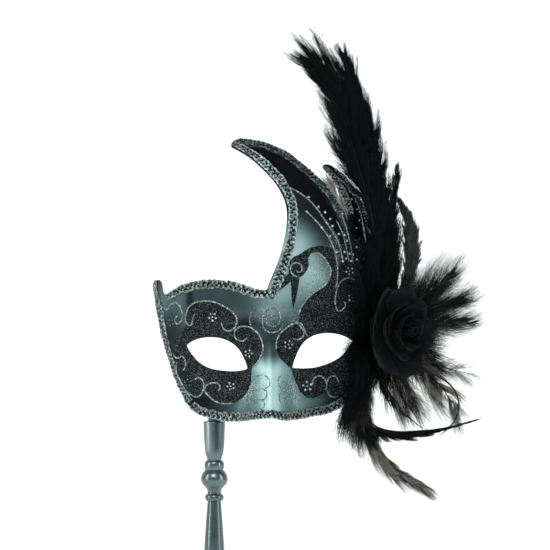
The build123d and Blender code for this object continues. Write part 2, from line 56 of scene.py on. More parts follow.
# ------------------------------------------------------------------ the face surface, millimetres
def front_y(x, z):
    x, z = np.asarray(x, float), np.asarray(z, float)
    xm, zm = x - 39.0, z - 237.6
    s = np.minimum(np.abs(xm) / 87.0, 0.985)
    y = -13.0 + 52.0 * (1 - np.sqrt(1 - s * s))
    t = np.maximum(0.0, (258.0 - z) / 66.0)
    w = 7.5 + 7.5 * np.minimum(t, 1.2)
    y = y - (1 + 20.0 * t ** 1.15) * np.exp(-((xm / w) ** 2) * 0.85) / (1 + np.exp((z - 266.0) / 5.0))
    side = np.exp(-((np.maximum(np.abs(xm) - 58.0, 0) / 12.0) ** 2))
    y = y - 3.0 * np.exp(-(((zm - 20.0) / 9.0) ** 2)) * side
    y = y + 3.2 * np.exp(-(((np.abs(xm) - 36.0) / 19.0) ** 2) - ((zm / 12.0) ** 2))
    return y + 0.001 * np.maximum(z - 274.0, 0) ** 2


def normal_at(x, z):
    e = 0.05
    gx = (front_y(x + e, z) - front_y(x - e, z)) / (2 * e)
    gz = (front_y(x, z + e) - front_y(x, z - e)) / (2 * e)
    n = np.sqrt(gx * gx + gz * gz + 1)
    return np.stack([gx / n, -1 / n, gz / n], -1)


def surf(x, z, d):
    """Point on the shell's front at (x, z), moved d outwards."""
    x, z = np.asarray(x, float), np.asarray(z, float)
    base = np.stack([x, front_y(x, z), z], -1)
    return base + normal_at(x, z) * np.asarray(d, float)[..., None]


def plan(pts):
    """Drawing units to millimetres on the front plane."""
    p = np.asarray(pts, float)
    return np.stack([(p[:, 0] - 214.3) * 0.7, 190.0 + (421.0 - p[:, 1]) * 0.7], -1)


def spline(points, n, closed=False):
    """n evenly spaced points on a smooth curve through the given ones, and its unit tangents."""
    p = np.asarray(points, float)
    if closed:
        p = np.vstack([p, p[:1]])
    t = np.r_[0, np.cumsum(np.linalg.norm(np.diff(p, axis=0), axis=1))]
    k = len(p)
    if k < 3:
        f = np.linspace(0, 1, n)[:, None]
        q = p[0] * (1 - f) + p[-1] * f
        tan = np.repeat([(p[-1] - p[0])], n, 0)
        return q, tan / np.linalg.norm(tan, axis=1)[:, None]
    h = np.diff(t)
    a = np.zeros((k, k)); b = np.zeros((k, p.shape[1]))
    for i in range(1, k - 1):
        a[i, i - 1], a[i, i], a[i, i + 1] = h[i - 1], 2 * (h[i - 1] + h[i]), h[i]
        b[i] = 6 * ((p[i + 1] - p[i]) / h[i] - (p[i] - p[i - 1]) / h[i - 1])
    if closed:
        a[0, 0], a[0, 1], a[0, -2] = 2 * (h[0] + h[-1]), h[0], h[-1]
        b[0] = 6 * ((p[1] - p[0]) / h[0] - (p[-1] - p[-2]) / h[-1])
        a[-1, 0], a[-1, -1] = 1, -1
    else:
        a[0, 0] = a[-1, -1] = 1
    m = np.linalg.solve(a, b)

    def at(s):
        i = np.clip(np.searchsorted(t, s, "right") - 1, 0, k - 2)
        hh = h[i][:, None]; A = (t[i + 1] - s)[:, None] / hh; B = 1 - A
        q = A * p[i] + B * p[i + 1] + ((A ** 3 - A) * m[i] + (B ** 3 - B) * m[i + 1]) * hh ** 2 / 6
        g = (p[i + 1] - p[i]) / hh - (3 * A ** 2 - 1) / 6 * hh * m[i] + (3 * B ** 2 - 1) / 6 * hh * m[i + 1]
        return q, g
    fine = np.linspace(0, t[-1], 600)
    q, _ = at(fine)
    L = np.r_[0, np.cumsum(np.linalg.norm(np.diff(q, axis=0), axis=1))]
    q, g = at(np.interp(np.linspace(0, L[-1], n), L, fine))
    return q, g / np.linalg.norm(g, axis=1)[:, None]


def length_of(q):
    return float(np.linalg.norm(np.diff(q, axis=0), axis=1).sum())


def inside(poly, pts):
    x, y = pts[:, 0], pts[:, 1]
    r = np.zeros(len(pts), bool)
    a, b = poly, np.roll(poly, -1, 0)
    for (x1, y1), (x2, y2) in zip(a, b):
        c = (y1 > y) != (y2 > y)
        with np.errstate(divide="ignore", invalid="ignore"):
            r ^= c & (x < (x2 - x1) * (y - y1) / (y2 - y1 + 1e-12) + x1)
    return r


# ------------------------------------------------------------------ mesh building
def build(name, verts, quads=None, tris=None, mats=(), mq=None, mt=None, smooth=True, unit=0.001):
    quads = np.zeros((0, 4), int) if quads is None else np.asarray(quads, int).reshape(-1, 4)
    tris = np.zeros((0, 3), int) if tris is None else np.asarray(tris, int).reshape(-1, 3)
    me = bpy.data.meshes.new(name)
    v = np.ascontiguousarray(np.asarray(verts, float).reshape(-1, 3) * unit, dtype=np.float32)
    me.vertices.add(len(v)); me.vertices.foreach_set("co", v.ravel())
    loops = np.concatenate([quads.ravel(), tris.ravel()]).astype(np.int32)
    me.loops.add(len(loops)); me.loops.foreach_set("vertex_index", loops)
    nq, nt = len(quads), len(tris)
    starts = np.concatenate([np.arange(nq) * 4, nq * 4 + np.arange(nt) * 3]).astype(np.int32)
    me.polygons.add(nq + nt); me.polygons.foreach_set("loop_start", starts)
    mi = np.concatenate([np.zeros(nq, int) if mq is None else np.asarray(mq), np.zeros(nt, int) if mt is None else np.asarray(mt)])
    for m in mats:
        me.materials.append(m)
    me.polygons.foreach_set("material_index", mi.astype(np.int32))
    me.polygons.foreach_set("use_smooth", np.full(nq + nt, bool(smooth)))
    me.update(calc_edges=True)
    me.validate()
    ob = bpy.data.objects.new(name, me)
    scene.collection.objects.link(ob)
    return ob


class Heap:
    """Collects vertices and faces of many small closed forms for one object."""
    def __init__(self):
        self.v, self.q, self.t, self.mq, self.mt, self.n = [], [], [], [], [], 0

    def add(self, v, q=None, t=None, mat=0):
        v = np.asarray(v, float).reshape(-1, 3)
        if q is not None and len(q):
            q = np.asarray(q, int).reshape(-1, 4) + self.n
            self.q.append(q); self.mq.append(np.full(len(q), mat))
        if t is not None and len(t):
            t = np.asarray(t, int).reshape(-1, 3) + self.n
            self.t.append(t); self.mt.append(np.full(len(t), mat))
        self.v.append(v); self.n += len(v)

    def tube(self, path, radius, sides=6, up=None, mat=0, flat=1.0):
        """A closed tube; radius one number or one per point; flat squeezes it along up."""
        p = np.asarray(path, float); n = len(p)
        r = np.broadcast_to(np.asarray(radius, float), (n,))
        g = np.gradient(p, axis=0); g /= np.linalg.norm(g, axis=1)[:, None] + 1e-12
        if up is None:
            up = np.array((0.13, -0.97, 0.21))
        up = np.broadcast_to(np.asarray(up, float), (n, 3))
        b = np.cross(g, up); b /= np.linalg.norm(b, axis=1)[:, None] + 1e-12
        c = np.cross(b, g)
        a = np.arange(sides) / sides * 2 * math.pi
        ring = p[:, None] + r[:, None, None] * (b[:, None] * np.cos(a)[None, :, None] + flat * c[:, None] * np.sin(a)[None, :, None])
        i = np.arange(n - 1)[:, None] * sides; j = np.arange(sides)[None]; k = (j + 1) % sides
        q = np.stack([i + j, i + k, i + sides + k, i + sides + j], -1).reshape(-1, 4)
        v = np.vstack([ring.reshape(-1, 3), p[:1], p[-1:]])
        t0 = np.stack([np.full(sides, n * sides), (np.arange(sides) + 1) % sides, np.arange(sides)], -1)
        e = (n - 1) * sides
        t1 = np.stack([np.full(sides, n * sides + 1), e + np.arange(sides), e + (np.arange(sides) + 1) % sides], -1)
        self.add(v, q, np.vstack([t0, t1]), mat)

    def ribbons(self, paths, across, mat=0):
        """Many strips at once: paths (m, n, 3), half-width vectors across (m, n, 3)."""
        m, n = paths.shape[:2]
        v = np.stack([paths - across, paths + across], 2)
        base = (np.arange(m) * n * 2)[:, None] + (np.arange(n - 1) * 2)[None]
        q = np.stack([base, base + 1, base + 3, base + 2], -1).reshape(-1, 4)
        self.add(v, q, None, mat)

    def grains(self, centre, size, mat=0):
        """Tiny tumbled octahedra at many centres."""
        c = np.asarray(centre, float); m = len(c)
        if m == 0:
            return
        a = rng.normal(size=(m, 3)); a /= np.linalg.norm(a, axis=1)[:, None]
        b = np.cross(a, rng.normal(size=(m, 3))); b /= np.linalg.norm(b, axis=1)[:, None]
        d = np.cross(a, b)
        s = np.broadcast_to(np.asarray(size, float), (m,))[:, None]
        v = np.stack([c + a * s, c + b * s, c - a * s, c - b * s, c + d * s * 0.3, c - d * s * 0.3], 1)
        base = np.arange(m)[:, None, None] * 6
        f = np.array([[0, 1, 4], [1, 2, 4], [2, 3, 4], [3, 0, 4], [1, 0, 5], [2, 1, 5], [3, 2, 5], [0, 3, 5]])[None]
        self.add(v, None, (base + f).reshape(-1, 3), mat)

    def dome(self, centre, normal, radius, height, mat=0, seg=10, rings=4):
        nrm = np.asarray(normal, float); nrm = nrm / np.linalg.norm(nrm)
        a = np.cross(nrm, (0.3, 0.1, 1.0)); a /= np.linalg.norm(a); b = np.cross(nrm, a)
        ang = np.arange(seg) / seg * 2 * math.pi
        v, q, t = [], [], []
        for i in range(rings):
            f = i / rings * math.pi / 2
            rr, hh = radius * math.cos(f), height * math.sin(f)
            wob = 1 + 0.06 * np.sin(ang * 3 + centre[0])
            v.append(centre + nrm * hh + (a[None] * np.cos(ang)[:, None] + b[None] * np.sin(ang)[:, None]) * rr * wob[:, None])
        v = np.vstack(v + [np.array([centre + nrm * height, centre - nrm * 0.05])])
        for i in range(rings - 1):
            for j in range(seg):
                k = (j + 1) % seg
                q.append((i * seg + j, i * seg + k, (i + 1) * seg + k, (i + 1) * seg + j))
        for j in range(seg):
            k = (j + 1) % seg
            t.append(((rings - 1) * seg + j, (rings - 1) * seg + k, rings * seg))
            t.append((k, j, rings * seg + 1))
        self.add(v, q, t, mat)

    def make(self, name, mats, smooth=True):
        v = np.vstack(self.v)
        q = np.vstack(self.q) if self.q else None
        t = np.vstack(self.t) if self.t else None
        return build(name, v, q, t, mats, np.concatenate(self.mq) if self.mq else None,
                     np.concatenate(self.mt) if self.mt else None, smooth)


# ------------------------------------------------------------------ materials
class Mat:
    def __init__(self, name):
        self.m = bpy.data.materials.new(name); self.m.use_nodes = True
        self.t = self.m.node_tree; self.n = self.t.nodes; self.l = self.t.links
        self.b = self.n["Principled BSDF"]
        self.co = self.n.new("ShaderNodeTexCoord").outputs["Object"]

    def put(self, node, key, value):
        if isinstance(value, bpy.types.NodeSocket):
            self.l.new(value, node.inputs[key])
        elif value is not None:
            node.inputs[key].default_value = value

    def math(self, op, a, b=None, c=None, clamp=False):
        n = self.n.new("ShaderNodeMath"); n.operation = op; n.use_clamp = clamp
        for i, v in enumerate((a, b, c)):
            self.put(n, i, v)
        return n.outputs[0]

    def xyz(self):
        n = self.n.new("ShaderNodeSeparateXYZ"); self.l.new(self.co, n.inputs[0])
        return n.outputs

    def ramp(self, f, stops, mode="LINEAR"):
        n = self.n.new("ShaderNodeValToRGB"); n.color_ramp.interpolation = mode
        e = n.color_ramp.elements
        while len(e) < len(stops):
            e.new(0.5)
        for el, (p, c) in zip(e, stops):
            el.position = p; el.color = (*c, 1) if len(c) == 3 else c
        self.put(n, 0, f)
        return n.outputs[0]

    def range(self, v, a, b, c=0.0, d=1.0, smooth=True):
        n = self.n.new("ShaderNodeMapRange"); n.interpolation_type = "SMOOTHSTEP" if smooth else "LINEAR"
        self.put(n, 0, v)
        for i, x in enumerate((a, b, c, d)):
            n.inputs[i + 1].default_value = x
        return n.outputs[0]

    def mix(self, f, a, b, kind="MIX"):
        n = self.n.new("ShaderNodeMix"); n.data_type = "RGBA"; n.blend_type = kind
        self.put(n, 0, f)
        for key, v in ((6, a), (7, b)):
            self.put(n, key, v if isinstance(v, bpy.types.NodeSocket) else (*v, 1))
        return n.outputs[2]

    def noise(self, scale, detail=3.0, rough=0.5, stretch=None, colour=False, distort=0.0):
        n = self.n.new("ShaderNodeTexNoise")
        n.inputs["Scale"].default_value = scale; n.inputs["Detail"].default_value = detail
        n.inputs["Roughness"].default_value = rough; n.inputs["Distortion"].default_value = distort
        v = self.co
        if stretch:
            mp = self.n.new("ShaderNodeMapping"); mp.inputs["Scale"].default_value = stretch
            self.l.new(self.co, mp.inputs[0]); v = mp.outputs[0]
        self.l.new(v, n.inputs["Vector"])
        return n.outputs["Color" if colour else "Fac"]

    def voronoi(self, scale, out="Distance", feature="F1"):
        n = self.n.new("ShaderNodeTexVoronoi"); n.feature = feature; n.inputs["Scale"].default_value = scale
        self.l.new(self.co, n.inputs["Vector"])
        return n.outputs[out]

    def bump(self, height, strength=0.3, distance=0.0005, normal=None):
        n = self.n.new("ShaderNodeBump"); n.inputs["Strength"].default_value = strength
        n.inputs["Distance"].default_value = distance
        self.put(n, "Height", height)
        if normal is not None:
            self.l.new(normal, n.inputs["Normal"])
        return n.outputs[0]

    def tilt(self, colour, amount):
        """A random facet direction from a cell colour, for glitter."""
        sub = self.n.new("ShaderNodeVectorMath"); sub.operation = "SUBTRACT"
        self.l.new(colour, sub.inputs[0]); sub.inputs[1].default_value = (0.5, 0.5, 0.5)
        sc = self.n.new("ShaderNodeVectorMath"); sc.operation = "SCALE"
        self.l.new(sub.outputs[0], sc.inputs[0]); sc.inputs["Scale"].default_value = amount
        geo = self.n.new("ShaderNodeNewGeometry")
        add = self.n.new("ShaderNodeVectorMath"); add.operation = "ADD"
        self.l.new(geo.outputs["Normal"], add.inputs[0]); self.l.new(sc.outputs[0], add.inputs[1])
        no = self.n.new("ShaderNodeVectorMath"); no.operation = "NORMALIZE"
        self.l.new(add.outputs[0], no.inputs[0])
        return no.outputs[0]

    def set(self, **kw):
        names = dict(color="Base Color", metallic="Metallic", rough="Roughness", normal="Normal", alpha="Alpha", sheen="Sheen Weight",
                     sheen_rough="Sheen Roughness", coat="Coat Weight", coat_rough="Coat Roughness", spec="Specular IOR Level",
                     sub="Subsurface Weight", emit="Emission Color", emit_s="Emission Strength", trans="Transmission Weight", ior="IOR")
        for k, v in kw.items():
            key = names[k]
            if isinstance(v, tuple) and len(v) == 3 and key != "Normal":
                v = (*v, 1)
            self.put(self.b, key, v)
        return self


def band(m, v, lo, hi, soft):
    """1 between lo and hi, fading over soft."""
    a = m.range(v, lo - soft, lo + soft)
    b = m.range(v, hi - soft, hi + soft, 1.0, 0.0)
    return m.math("MULTIPLY", a, b)


def blob(m, x, z, at, size, gain):
    """One soft spot on the face, in metres, used for airbrushed tone, glitter dust, painted highlights and painted
    shade.
    """
    a = m.math("DIVIDE", m.math("SUBTRACT", x, at[0]), size[0]); b = m.math("DIVIDE", m.math("SUBTRACT", z, at[1]), size[1])
    r = m.math("ADD", m.math("MULTIPLY", a, a), m.math("MULTIPLY", b, b))
    return m.math("MULTIPLY", m.math("EXPONENT", m.math("MULTIPLY", r, -1.0)), gain)


def shell_paint():
    m = Mat("shell_paint"); x, y, z = m.xyz()
    dx = m.math("ABSOLUTE", m.math("SUBTRACT", x, 0.039))
    # lightness map: airbrushed paint tone mixed with painted highlights, painted reflections and painted shade; lighter
    # towards the top
    light = m.range(z, 0.200, 0.282, 0.008, 0.058)
    # lighter spots on the forehead and crest, and a painted reflection on the left temple
    for at, size, gain in (((0.0450, 0.2785), (0.0150, 0.0100), 0.30), ((0.0560, 0.3085), (0.0150, 0.0200), 0.50), ((0.070, 0.291), (0.011, 0.012), 0.40),
                           ((-0.038, 0.274), (0.005, 0.011), 0.112), ((0.039, 0.238), (0.010, 0.005), 0.03)):
        light = m.math("ADD", light, blob(m, x, z, at, size, gain))
    # painted highlight down the nose: narrow on the ridge and broad round it, on the lower face only
    low = m.range(z, 0.2250, 0.2375, 1.0, 0.0)
    wide = m.math("EXPONENT", m.math("MULTIPLY", m.math("POWER", m.math("DIVIDE", dx, 0.028), 2.0), -1.0))
    ridge = m.math("EXPONENT", m.math("MULTIPLY", m.math("POWER", m.math("DIVIDE", dx, 0.0080), 2.0), -1.0))
    light = m.math("ADD", light, m.math("MULTIPLY", low, m.math("ADD", m.math("MULTIPLY", wide, 0.14), m.math("MULTIPLY", ridge, 0.47))))
    # the crest fades to black towards its upper edge, on an arc round its lower front
    cx, cz = m.math("SUBTRACT", x, 0.0425), m.math("SUBTRACT", z, 0.2943)
    r = m.math("SQRT", m.math("ADD", m.math("MULTIPLY", cx, cx), m.math("MULTIPLY", cz, cz)))
    up = m.range(z, 0.285, 0.300)
    fade = m.math("ADD", m.math("MULTIPLY", m.range(r, 0.027, 0.048, 1.0, 0.07), up), m.math("SUBTRACT", 1.0, up))
    light = m.math("MULTIPLY", light, fade)
    # brighter lower cheek, and painted highlights down the sides of the bridge
    for at, size, gain in (((0.0635, 0.2035), (0.0130, 0.0070), 0.13), ((0.0332, 0.2292), (0.0045, 0.0050), 0.11), ((0.0462, 0.2292), (0.0045, 0.0050), 0.09)):
        light = m.math("ADD", light, blob(m, x, z, at, size, gain))
    # a painted dark reflection down the left brow, a darker lower corner and painted shade on the temple side of the
    # forehead
    for at, size, gain in (((-0.0171, 0.2735), (0.0025, 0.010), 0.085), ((-0.0080, 0.2030), (0.0110, 0.0065), 0.022), ((0.0225, 0.2605), (0.0075, 0.0085), 0.050),
                           ((0.0300, 0.2120), (0.0075, 0.0110), 0.030), ((-0.0100, 0.2768), (0.0060, 0.0090), 0.012), ((-0.0290, 0.2500), (0.0080, 0.0130), 0.034)):
        light = m.math("SUBTRACT", light, blob(m, x, z, at, size, gain), clamp=True)
    n1 = m.noise(90, 4, 0.6); light = m.math("MULTIPLY", light, m.range(n1, 0.25, 0.75, 0.88, 1.10, False))
    col = m.ramp(light, [(0.0, (0.002, 0.003, 0.0034)), (0.06, (0.032, 0.058, 0.063)), (0.3, (0.182, 0.300, 0.306)), (0.62, (0.45, 0.64, 0.635)), (1.0, (0.8, 1.0, 0.97))])
    dust = None
    for at, size, gain in (((0.0265, 0.212), (0.009, 0.012), 1.0), ((0.0525, 0.212), (0.009, 0.012), 1.0), ((0.073, 0.294), (0.008, 0.012), 1.0), ((0.039, 0.264), (0.011, 0.010), 0.35),
                           ((0.066, 0.281), (0.008, 0.006), 0.7), ((0.086, 0.316), (0.006, 0.020), 0.7), ((0.0610, 0.2600), (0.008, 0.004), 0.7)):
        d = blob(m, x, z, at, size, gain)
        dust = d if dust is None else m.math("ADD", dust, d, clamp=True)
    cell = m.voronoi(1900, "Color"); sc = m.n.new("ShaderNodeSeparateColor"); m.l.new(cell, sc.inputs[0])
    col = m.mix(m.math("MULTIPLY", dust, m.range(sc.outputs[0], 0.62, 0.85, 0.0, 0.75)), col, (0.42, 0.56, 0.56))
    col = m.mix(m.math("MULTIPLY", dust, m.range(sc.outputs[1], 0.66, 0.9, 0.0, 0.7)), col, (0.02, 0.03, 0.032))
    fleck = m.voronoi(2600, "Distance")
    col = m.mix(m.range(fleck, 0.0, 0.5, 0.10, 0.0), col, (0.3, 0.38, 0.37))
    nb = m.bump(m.noise(700, 5, 0.6), 0.10, 0.0002)
    nb = m.bump(m.noise(45, 3, 0.5), 0.06, 0.0010, nb)
    m.set(color=col, metallic=0.90, rough=m.math("ADD", m.range(m.noise(160, 4), 0.2, 0.8, 0.42, 0.54, False), m.math("MULTIPLY", m.math("MULTIPLY", low, ridge), 0.13)), normal=nb, coat=0.10, coat_rough=0.3)
    return m.m


def black_paint():
    m = Mat("black_field")
    col = m.ramp(m.noise(220, 4), [(0.3, (0.0010, 0.0012, 0.0015)), (0.7, (0.0028, 0.0032, 0.0038))])
    m.set(color=col, rough=m.range(m.noise(300, 3), 0.2, 0.8, 0.6, 0.75, False), normal=m.bump(m.noise(1500, 3), 0.25, 0.0002), spec=0.05)
    return m.m


def glitter(name, dark, mid, spark, share, rough=0.3, metal=0.85, tilt=0.9, cell=1250, spec=0.5):
    m = Mat(name)
    cells = m.voronoi(cell, "Color"); fine = m.voronoi(cell * 2.4, "Color")
    sx = m.n.new("ShaderNodeSeparateColor"); m.l.new(cells, sx.inputs[0])
    pick = m.range(sx.outputs[0], 1 - share, 1 - share * 0.4)
    base = m.mix(m.range(sx.outputs[1], 0.2, 0.9), dark, mid)
    col = m.mix(pick, base, spark)
    cool = tuple(c * k for c, k in zip(spark, (0.72, 1.0, 1.05)))
    col = m.mix(m.math("MULTIPLY", pick, m.range(sx.outputs[2], 0.6, 1.0, 0.0, 0.5)), col, cool)
    nrm = m.bump(m.voronoi(cell), 0.5, 0.0004, m.tilt(fine, tilt))
    m.set(color=col, metallic=metal, rough=rough, normal=nrm, spec=spec)
    return m.m


def gimp(name, a, b, c, metal=0.9, rough=0.30):
    m = Mat(name)
    n = m.noise(620, 2, 0.6)
    col = m.ramp(n, [(0.38, a), (0.5, b), (0.61, c)])
    wave = m.n.new("ShaderNodeTexWave"); wave.inputs["Scale"].default_value = 700; wave.inputs["Distortion"].default_value = 4.0
    m.l.new(m.co, wave.inputs[0])
    # painted shade in the grooves of the wound cord, where the wave bump dips
    col = m.mix(m.range(wave.outputs[1], 0.0, 0.6, 0.45, 0.0), col, (0.02, 0.025, 0.025))
    m.set(color=col, metallic=metal, rough=rough, normal=m.bump(wave.outputs[1], 0.7, 0.0003))
    return m.m


def stick_paint():
    m = Mat("stick_paint")
    col = m.ramp(m.noise(60, 5, 0.6, stretch=(1, 1, 0.18)), [(0.3, (0.085, 0.118, 0.122)), (0.55, (0.135, 0.180, 0.183)), (0.8, (0.20, 0.255, 0.255))])
    fleck = m.voronoi(2400, "Distance")
    col = m.mix(m.range(fleck, 0.0, 0.5, 0.2, 0.0), col, (0.4, 0.5, 0.5))
    wear = m.math("MULTIPLY", m.range(m.noise(240, 5, 0.7), 0.66, 0.74), 0.6)
    col = m.mix(wear, col, (0.03, 0.036, 0.036))
    nb = m.bump(m.noise(150, 5, 0.6, stretch=(1, 1, 0.1)), 0.12, 0.0006)
    nb = m.bump(m.noise(1500, 2), 0.12, 0.0002, nb)
    sx, _, sz = m.xyz()
    # a painted dark reflection: a darker vertical strip just right of the middle of the stick, from its shoulder up
    shade = m.math("EXPONENT", m.math("MULTIPLY", m.math("POWER", m.math("DIVIDE", m.math("SUBTRACT", sx, 0.0020), 0.0026), 2.0), -1.0))
    col = m.mix(m.math("MULTIPLY", m.math("MULTIPLY", shade, 0.80), m.range(sz, 0.166, 0.172)), col, (0.028, 0.038, 0.040))
    # a painted highlight: a lighter vertical strip left of the middle of the stick, from its shoulder up
    painted_highlight = m.math("EXPONENT", m.math("MULTIPLY", m.math("POWER", m.math("DIVIDE", m.math("ADD", sx, 0.0046), 0.0016), 2.0), -1.0))
    col = m.mix(m.math("MULTIPLY", m.math("MULTIPLY", painted_highlight, 0.50), m.range(sz, 0.166, 0.172)), col, (0.36, 0.43, 0.43))
    m.set(color=col, metallic=0.92, rough=m.range(m.noise(120, 4), 0.2, 0.8, 0.22, 0.34, False), normal=nb)
    return m.m


def felt(name, a, b):
    m = Mat(name)
    col = m.ramp(m.noise(900, 6, 0.75), [(0.3, a), (0.7, b)])
    m.set(color=col, rough=0.95, sheen=0.12, sheen_rough=0.5, spec=0.08, normal=m.bump(m.noise(1400, 6, 0.8), 0.8, 0.0004))
    return m.m


def hot_melt():
    m = Mat("hot_melt")
    col = m.ramp(m.noise(240, 3), [(0.3, (0.50, 0.44, 0.30)), (0.7, (0.72, 0.68, 0.55))])
    m.set(color=col, rough=0.28, sub=0.3, normal=m.bump(m.noise(320, 3), 0.4, 0.0008))
    return m.m


def rose_cloth(name, dark, pale, spec):
    m = Mat(name)
    wa = m.n.new("ShaderNodeTexWave"); wa.inputs["Scale"].default_value = 1500; wa.bands_direction = "Z"
    wb = m.n.new("ShaderNodeTexWave"); wb.inputs["Scale"].default_value = 1500; wb.bands_direction = "X"
    m.l.new(m.co, wa.inputs[0]); m.l.new(m.co, wb.inputs[0])
    weave = m.math("MULTIPLY", wa.outputs[1], wb.outputs[1])
    col = m.ramp(m.noise(120, 4), [(0.25, dark), (0.75, pale)])
    nb = m.bump(weave, 0.35, 0.0002)
    nb = m.bump(m.noise(130, 4, 0.6), 0.5, 0.0016, nb)
    m.set(color=col, rough=0.66, sheen=0.03, sheen_rough=0.4, spec=spec, normal=nb)
    return m.m


def feather_mat(name, dark, pale, alpha=None, sheen=0.0, rough=0.5, trans=0.0, spec=0.05):
    m = Mat(name)
    col = m.ramp(m.noise(210, 5, 0.65), [(0.3, dark), (0.75, pale)])
    nb = m.bump(m.noise(1100, 3), 0.4, 0.0002)
    m.set(color=col, rough=rough, sheen=sheen, sheen_rough=0.4, spec=spec, normal=nb)
    if alpha is not None:
        m.set(alpha=m.range(m.noise(300, 3, 0.6), 0.25, 0.75, alpha[0], alpha[1], False))
    if trans:
        m.set(sub=trans)
    return m.m


SHELL = shell_paint(); BLACK = black_paint()
GLIT_BLACK = glitter("glitter_black", (0.0016, 0.0022, 0.0026), (0.008, 0.0115, 0.0125), (0.105, 0.135, 0.138), 0.20, 0.45, 0.6, 0.6, 2300, 0.15)
GLIT_SILVER = glitter("glitter_silver", (0.07, 0.095, 0.095), (0.19, 0.25, 0.245), (0.55, 0.66, 0.64), 0.28, 0.34, 0.8, 0.7)
GLIT_PALE = glitter("glitter_pale", (0.26, 0.33, 0.32), (0.46, 0.56, 0.55), (0.78, 0.90, 0.88), 0.4, 0.36, 0.35, 0.5)
GLIT_GREY = glitter("glitter_grey", (0.06, 0.08, 0.08), (0.15, 0.19, 0.19), (0.42, 0.5, 0.49), 0.25, 0.36, 0.75, 0.6)
GLIT_LINE = glitter("glitter_line", (0.11, 0.142, 0.14), (0.235, 0.295, 0.288), (0.52, 0.61, 0.595), 0.3, 0.36, 0.6, 0.5)
GIMP_A = gimp("gimp_silver", (0.10, 0.145, 0.145), (0.42, 0.54, 0.53), (0.76, 0.90, 0.87))
GIMP_B = gimp("gimp_mid", (0.055, 0.08, 0.082), (0.26, 0.335, 0.33), (0.58, 0.70, 0.67))
GIMP_C = gimp("gimp_dark", (0.025, 0.034, 0.034), (0.095, 0.125, 0.122), (0.30, 0.36, 0.35))
# darker copies of the braid colour for the crest's upper back edge: painted shade
GIMP_DARK = gimp("gimp_shade", (0.028, 0.044, 0.045), (0.125, 0.175, 0.172), (0.36, 0.45, 0.43))
GIMP_DEEP = gimp("gimp_deep", (0.012, 0.019, 0.020), (0.060, 0.085, 0.084), (0.24, 0.31, 0.30))
GIMP_BACK = felt("gimp_tape", (0.004, 0.005, 0.005), (0.018, 0.021, 0.021))
STICK = stick_paint(); FELT = felt("black_felt", (0.004, 0.004, 0.0046), (0.014, 0.014, 0.016)); MELT = hot_melt(); CLOTH = rose_cloth("rose_cloth", (0.0016, 0.0020, 0.0026), (0.0044, 0.0052, 0.0066), 0.10); LEAF = rose_cloth("leaf_cloth", (0.0008, 0.0010, 0.0012), (0.0022, 0.0026, 0.0030), 0.05)
BARB = feather_mat("barb_black", (0.0012, 0.0014, 0.0018), (0.0042, 0.0046, 0.0056), None, 0.0, 0.62, 0.0, 0.06)
BARB_SOFT = feather_mat("barb_soft", (0.004, 0.0042, 0.0045), (0.020, 0.0205, 0.019), (0.40, 0.85))
FAN_TIP = feather_mat("fan_tip", (0.007, 0.0075, 0.0072), (0.036, 0.038, 0.034), (0.28, 0.75))
DOWN = feather_mat("down_grey", (0.034, 0.035, 0.028), (0.120, 0.122, 0.098), (0.16, 0.50), 0.0, 0.7)
TAN = feather_mat("down_tan", (0.40, 0.36, 0.29), (0.80, 0.75, 0.66), (0.45, 0.9), 0.0, 0.7)
WEB = feather_mat("down_web", (0.150, 0.147, 0.118), (0.36, 0.35, 0.285), (0.10, 0.34), 0.0, 0.8, 0.0, 0.03)
LEAFY = feather_mat("vane_grey", (0.012, 0.0155, 0.0145), (0.052, 0.062, 0.056), (0.5, 0.95), 0.0, 0.7, 0.0, 0.05)
QUILL = feather_mat("quill_black", (0.0025, 0.0025, 0.003), (0.008, 0.008, 0.0085), None, 0.0, 0.4, 0.0, 0.25)


def finish_node(name, mat):
    """Gives a CAD node its finish."""
    ob = NODES[name]
    if ob.material_slots:
        for s in ob.material_slots:
            s.link = "OBJECT"; s.material = mat
    else:
        ob.data.materials.append(None); ob.material_slots[0].link = "OBJECT"; ob.material_slots[0].material = mat


for node, mat in (("mask_shell", SHELL), ("hand_stick", STICK), ("glue_bed", MELT), ("spray_glue", MELT), ("rose_disc", CLOTH)):
    finish_node(node, mat)

EYES = [plan([(186.6, 345.7), (192.3, 341.1), (199.4, 338.3), (208.2, 337.0), (216.7, 337.1), (225.3, 339.1), (234.0, 343.9), (241.2, 351.9),
              (245.4, 360.4), (247.6, 367.9), (240.0, 370.1), (231.2, 370.7), (219.6, 369.9), (208.2, 367.3), (198.2, 361.3), (191.6, 354.0)]),
        plan([(292.3, 367.0), (294.4, 359.0), (298.4, 349.4), (304.3, 341.1), (311.4, 336.0), (321.4, 333.1), (331.4, 332.9), (340.2, 334.6),
              (346.4, 337.1), (352.4, 341.0), (347.4, 349.0), (341.0, 356.0), (333.0, 361.1), (322.9, 365.0), (314.3, 367.1), (302.7, 367.9)])]


# ------------------------------------------------------------------ glitter fields and painted fields on the shell
def smooth_loop(pts, step, closed=True):
    q, _ = spline(pts, 400, closed)
    n = max(12, int(length_of(q) / step))
    return spline(pts, n + 1, closed)[0][:-1]


def straight_loop(pts, step):
    p = np.vstack([pts, pts[:1]]); out = []
    for a, b in zip(p[:-1], p[1:]):
        k = max(1, int(np.linalg.norm(b - a) / step))
        out.append(a + (b - a) * (np.arange(k) / k)[:, None])
    return np.vstack(out)


